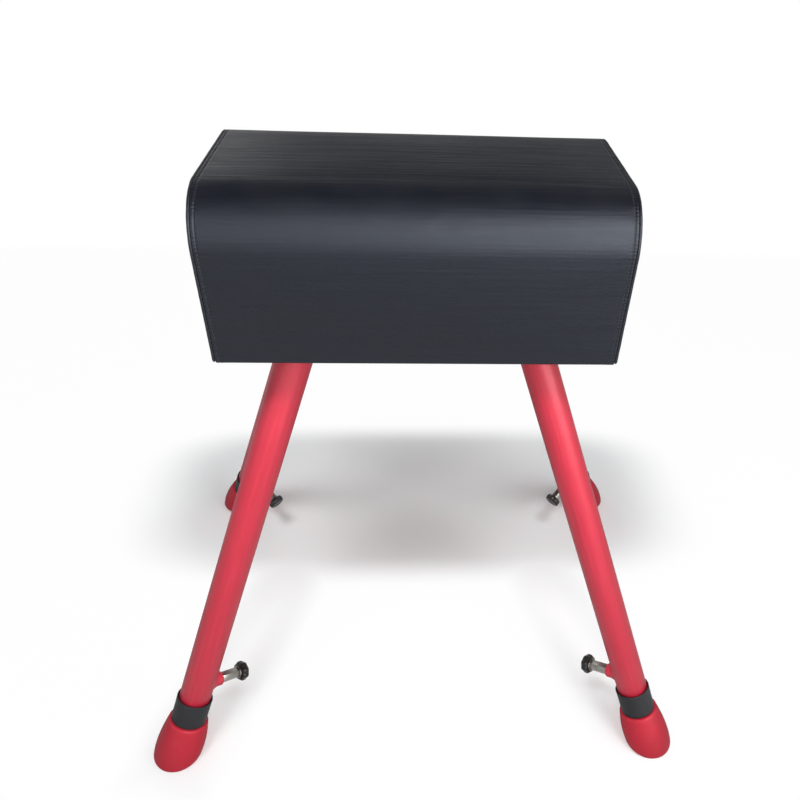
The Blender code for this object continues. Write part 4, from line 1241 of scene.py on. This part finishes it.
def foot_ring(height, radius, share=0.0, lean=0.0):
    """A circle of the foot: share 0 is square to the tube and 1 is level."""
    level = Vector((math.cos(SPLAY), 0.0, math.sin(SPLAY)))
    centre = Vector((0.0, 0.0, height)) + level * lean
    return Matrix.Translation(centre) @ Matrix.Rotation(-SPLAY * share, 4, "Y"), radius


def foot():
    socket = INNER_RADIUS + GAP
    rings = [foot_ring(INNER_LOW, 0.004), foot_ring(INNER_LOW, socket), foot_ring(FOOT_LENGTH, socket)]
    rings.append(foot_ring(FOOT_LENGTH, FOOT_TOP - 0.0022))
    rings.append(foot_ring(FOOT_LENGTH - 0.0004, FOOT_TOP - 0.0009))
    rings.append(foot_ring(FOOT_SHOULDER, FOOT_TOP))
    rim = 0.008 * UP_LEG
    for share in evenly(0.0, 1.0, FLARE_STEPS):
        flare = math.sin(share * math.pi / 2)
        height = FOOT_SHOULDER + share * (rim - FOOT_SHOULDER)
        rings.append(foot_ring(height, FOOT_TOP + flare * (FOOT_RADIUS - FOOT_TOP), share, FOOT_LEAN * flare))
    rings += [foot_ring(height * UP_LEG, radius, 1.0, FOOT_LEAN) for height, radius in SOLE]
    return ring_stack(rings, 72)


on_each_leg(foot, "hoof", foot_red, "{}_lower_leg", "foot")

# %% [markdown]
# ## Nuts and washers under the flanges
# Each flange hangs on four studs. A washer and a hexagon nut on every stud carry it, with a little of
# the stud left showing below.

# %% Nuts and washers
STUDS = [(x, y) for x in (-0.040, 0.040) for y in (-0.032, 0.032)]
WASHER = (28, 0.0080, 0.0016)  # sides, radius and thickness
NUT = (6, 0.0075, 0.0064)


def flange_fasteners(side_x, side_y):
    bm = bmesh.new()
    for x, y in STUDS:
        spot = Matrix.Translation((side_x * LEG_TOP[0] + x, side_y * LEG_TOP[1] + y, FLANGE_BOTTOM))
        askew = Matrix.Rotation(x * 9 + y * 23, 4, "Z")
        eased(bm, prism(bm, *WASHER, spot @ raised(-WASHER[2] / 2)), 0.0003, 2)
        eased(bm, prism(bm, *NUT, spot @ raised(-WASHER[2] - NUT[2] / 2) @ askew), 0.0006, 2)
    return bm


for leg, sides in LEGS.items():
    nuts = finished(flange_fasteners(*sides), leg + "_nuts", zinc, "stand", sharp=30.0)
print("faces of the nuts and washers on a leg:", len(nuts.data.polygons))

# %% [markdown]
# ## The floor
# The floor is a wide white sheet that keeps the buck's soft shadow. Away from the subject its material
# mixes in a white glow that camera rays and mirrored rays see, which makes it pure white. The glow stays
# away from a field behind the legs whose outline is a squarish oval, and there the true shadow shows.
# The glow washes out the shadow beyond that outline, so the oval paints the shadow's edge, and a faint
# glow in the middle of the field paints light into the shadow's core.

# %% Floor
builder = bmesh.new()
bmesh.ops.create_grid(builder, x_segments=1, y_segments=1, size=30.0)
floor_mesh = bpy.data.meshes.new("floor")
builder.to_mesh(floor_mesh)
builder.free()
floor = bpy.data.objects.new("floor", floor_mesh)
scene.collection.objects.link(floor)
white, shader, place = new_finish("floor_white", Roughness=0.9, Specular_IOR_Level=0.1)
floor_mesh.materials.append(white)
tree, ground = white.node_tree, place["Object"]
drive(shader, mixed(mask("smudges", ground, Scale=1.2), (0.895, 0.92, 0.925), (0.915, 0.94, 0.945)))

# %% The field of the shadow
sockets = {"Vector": ground, "Location": (0.0, -0.888, 0.0), "Scale": (1.0, 2.4, 1.0)}
around = add(tree, "ShaderNodeMapping", sockets).outputs["Vector"]
squared = add(tree, "ShaderNodeVectorMath", {0: around, 1: around}, operation="MULTIPLY").outputs["Vector"]
fourth = add(tree, "ShaderNodeVectorMath", {0: squared}, operation="LENGTH").outputs["Value"]
away = reckon("SQRT", fourth)
# painted light: a faint glow in the middle of the field lifts the shadow's core
under = spread(away, 0.0, 0.45, 0.15, 0.0)
# painted shadow edge: beyond the oval the glow washes out the true shadow
beside = spread(away, 0.53, 0.78, 0.0, 0.96, "SMOOTHSTEP")
far = spread(away, 0.9, 4.0, 0.0, 1.0, "SMOOTHSTEP")
glow_share = larger(larger(under, beside), far)

# %% [markdown]
# ### The shade of the front legs
# Each front leg throws a soft strip of shade inwards from its foot. The glow opens along such a strip:
# the distance to a line on the floor, mirrored for the two legs, takes the glow down near that line.

# %% The shade of the front legs
LEG_SHADE_START = Vector((0.45, -0.36))
LEG_SHADE_END = Vector((0.30, 0.12))
reach = LEG_SHADE_END - LEG_SHADE_START
heading = reach.normalized()
flat = split(ground)
ahead = minus(reckon("ABSOLUTE", flat["X"]), LEG_SHADE_START.x)
back = minus(flat["Y"], LEG_SHADE_START.y)
along = plus(times(ahead, heading.x), times(back, heading.y))
askew = minus(times(ahead, heading.y), times(back, heading.x))
beyond = larger(times(along, -1.0), minus(along, reach.length))
strip = larger(reckon("ABSOLUTE", askew), beyond)
glow_share = reckon("MINIMUM", glow_share, spread(strip, 0.02, 0.12, 0.25, 1.0, "SMOOTHSTEP"))

# %% The glow of the floor
rays = add(tree, "ShaderNodeLightPath").outputs
seen = larger(rays["Is Camera Ray"], larger(rays["Is Glossy Ray"], rays["Is Transmission Ray"]))
glow = add(tree, "ShaderNodeEmission", {"Color": (1.0, 1.0, 1.0, 1.0), "Strength": 1.0})
sockets = {0: times(seen, glow_share), 1: shader.outputs[0], 2: glow.outputs[0]}
blend = add(tree, "ShaderNodeMixShader", sockets)
link(blend.outputs[0], tree.nodes["Material Output"].inputs["Surface"])
print("nodes in the floor's material:", len(tree.nodes))

# %% [markdown]
# ## The light of the studio
# The room is white near the horizon and grey overhead, which gives the leather its dark band. Two high
# lamps throw the shadow and a lower one fills the front. Two large windows in front are seen only as
# reflections: they lay the sheen on the round of the head without lighting anything. Weak lamps at the
# sides and behind lift the edges.

# %% World
world = bpy.data.worlds.new("studio")
scene.world = world
world.use_nodes = True
background = world.node_tree.nodes["Background"]
lift = split(add(world.node_tree, "ShaderNodeTexCoord").outputs["Generated"])["Z"]
link(mixed(spread(lift, 0.19, 0.70), (0.98, 0.98, 0.98), (0.09, 0.09, 0.094)), background.inputs["Color"])
background.inputs["Strength"].default_value = 1.0


# %% Soft boxes
def soft_box(name, azimuth, elevation, distance, width, height, share, glossy=True, diffuse=True):
    """An area light that looks at the buck; share is the part of full light it gives a level floor."""
    data = bpy.data.lights.new(name, "AREA")
    data.shape = "RECTANGLE"
    data.size, data.size_y = width, height
    turn, lift = math.radians(azimuth), math.radians(elevation)
    data.energy = share * math.pi**2 * distance**2 / math.sin(lift)
    aim = Vector((math.sin(turn) * math.cos(lift), -math.cos(turn) * math.cos(lift), math.sin(lift)))
    lamp = bpy.data.objects.new(name, data)
    scene.collection.objects.link(lamp)
    lamp.location = Vector((0.0, 0.0, 0.5)) + aim * distance
    lamp.rotation_euler = aim.to_track_quat("Z", "Y").to_euler()
    lamp.visible_camera = False
    lamp.visible_glossy = glossy
    lamp.visible_diffuse = diffuse


soft_box("high_left", -36.0, 66.0, 2.9, 0.9, 0.6, 0.41, glossy=False)
soft_box("high_right", 36.0, 66.0, 2.9, 0.9, 0.6, 0.28, glossy=False)
soft_box("front_fill", 52.0, 28.0, 2.1, 1.3, 1.0, 0.165, glossy=False)
soft_box("window_right", 36.0, 31.0, 3.0, 2.8, 3.2, 1.09, diffuse=False)
soft_box("window_left", -24.0, 32.0, 3.0, 2.8, 3.0, 0.25, diffuse=False)
soft_box("left_side", -85.0, 35.0, 3.2, 1.6, 1.6, 0.02)
soft_box("right_side", 88.0, 35.0, 3.2, 1.6, 1.6, 0.04)
soft_box("behind_left", 208.0, 20.0, 3.6, 1.5, 0.7, 0.025)
print("soft boxes:", len(bpy.data.lights))

# %% [markdown]
# ## Colour management
# The view transform is Standard, so that a colour is shown about as it is written.

# %% Finish
scene.view_settings.view_transform = "Standard"
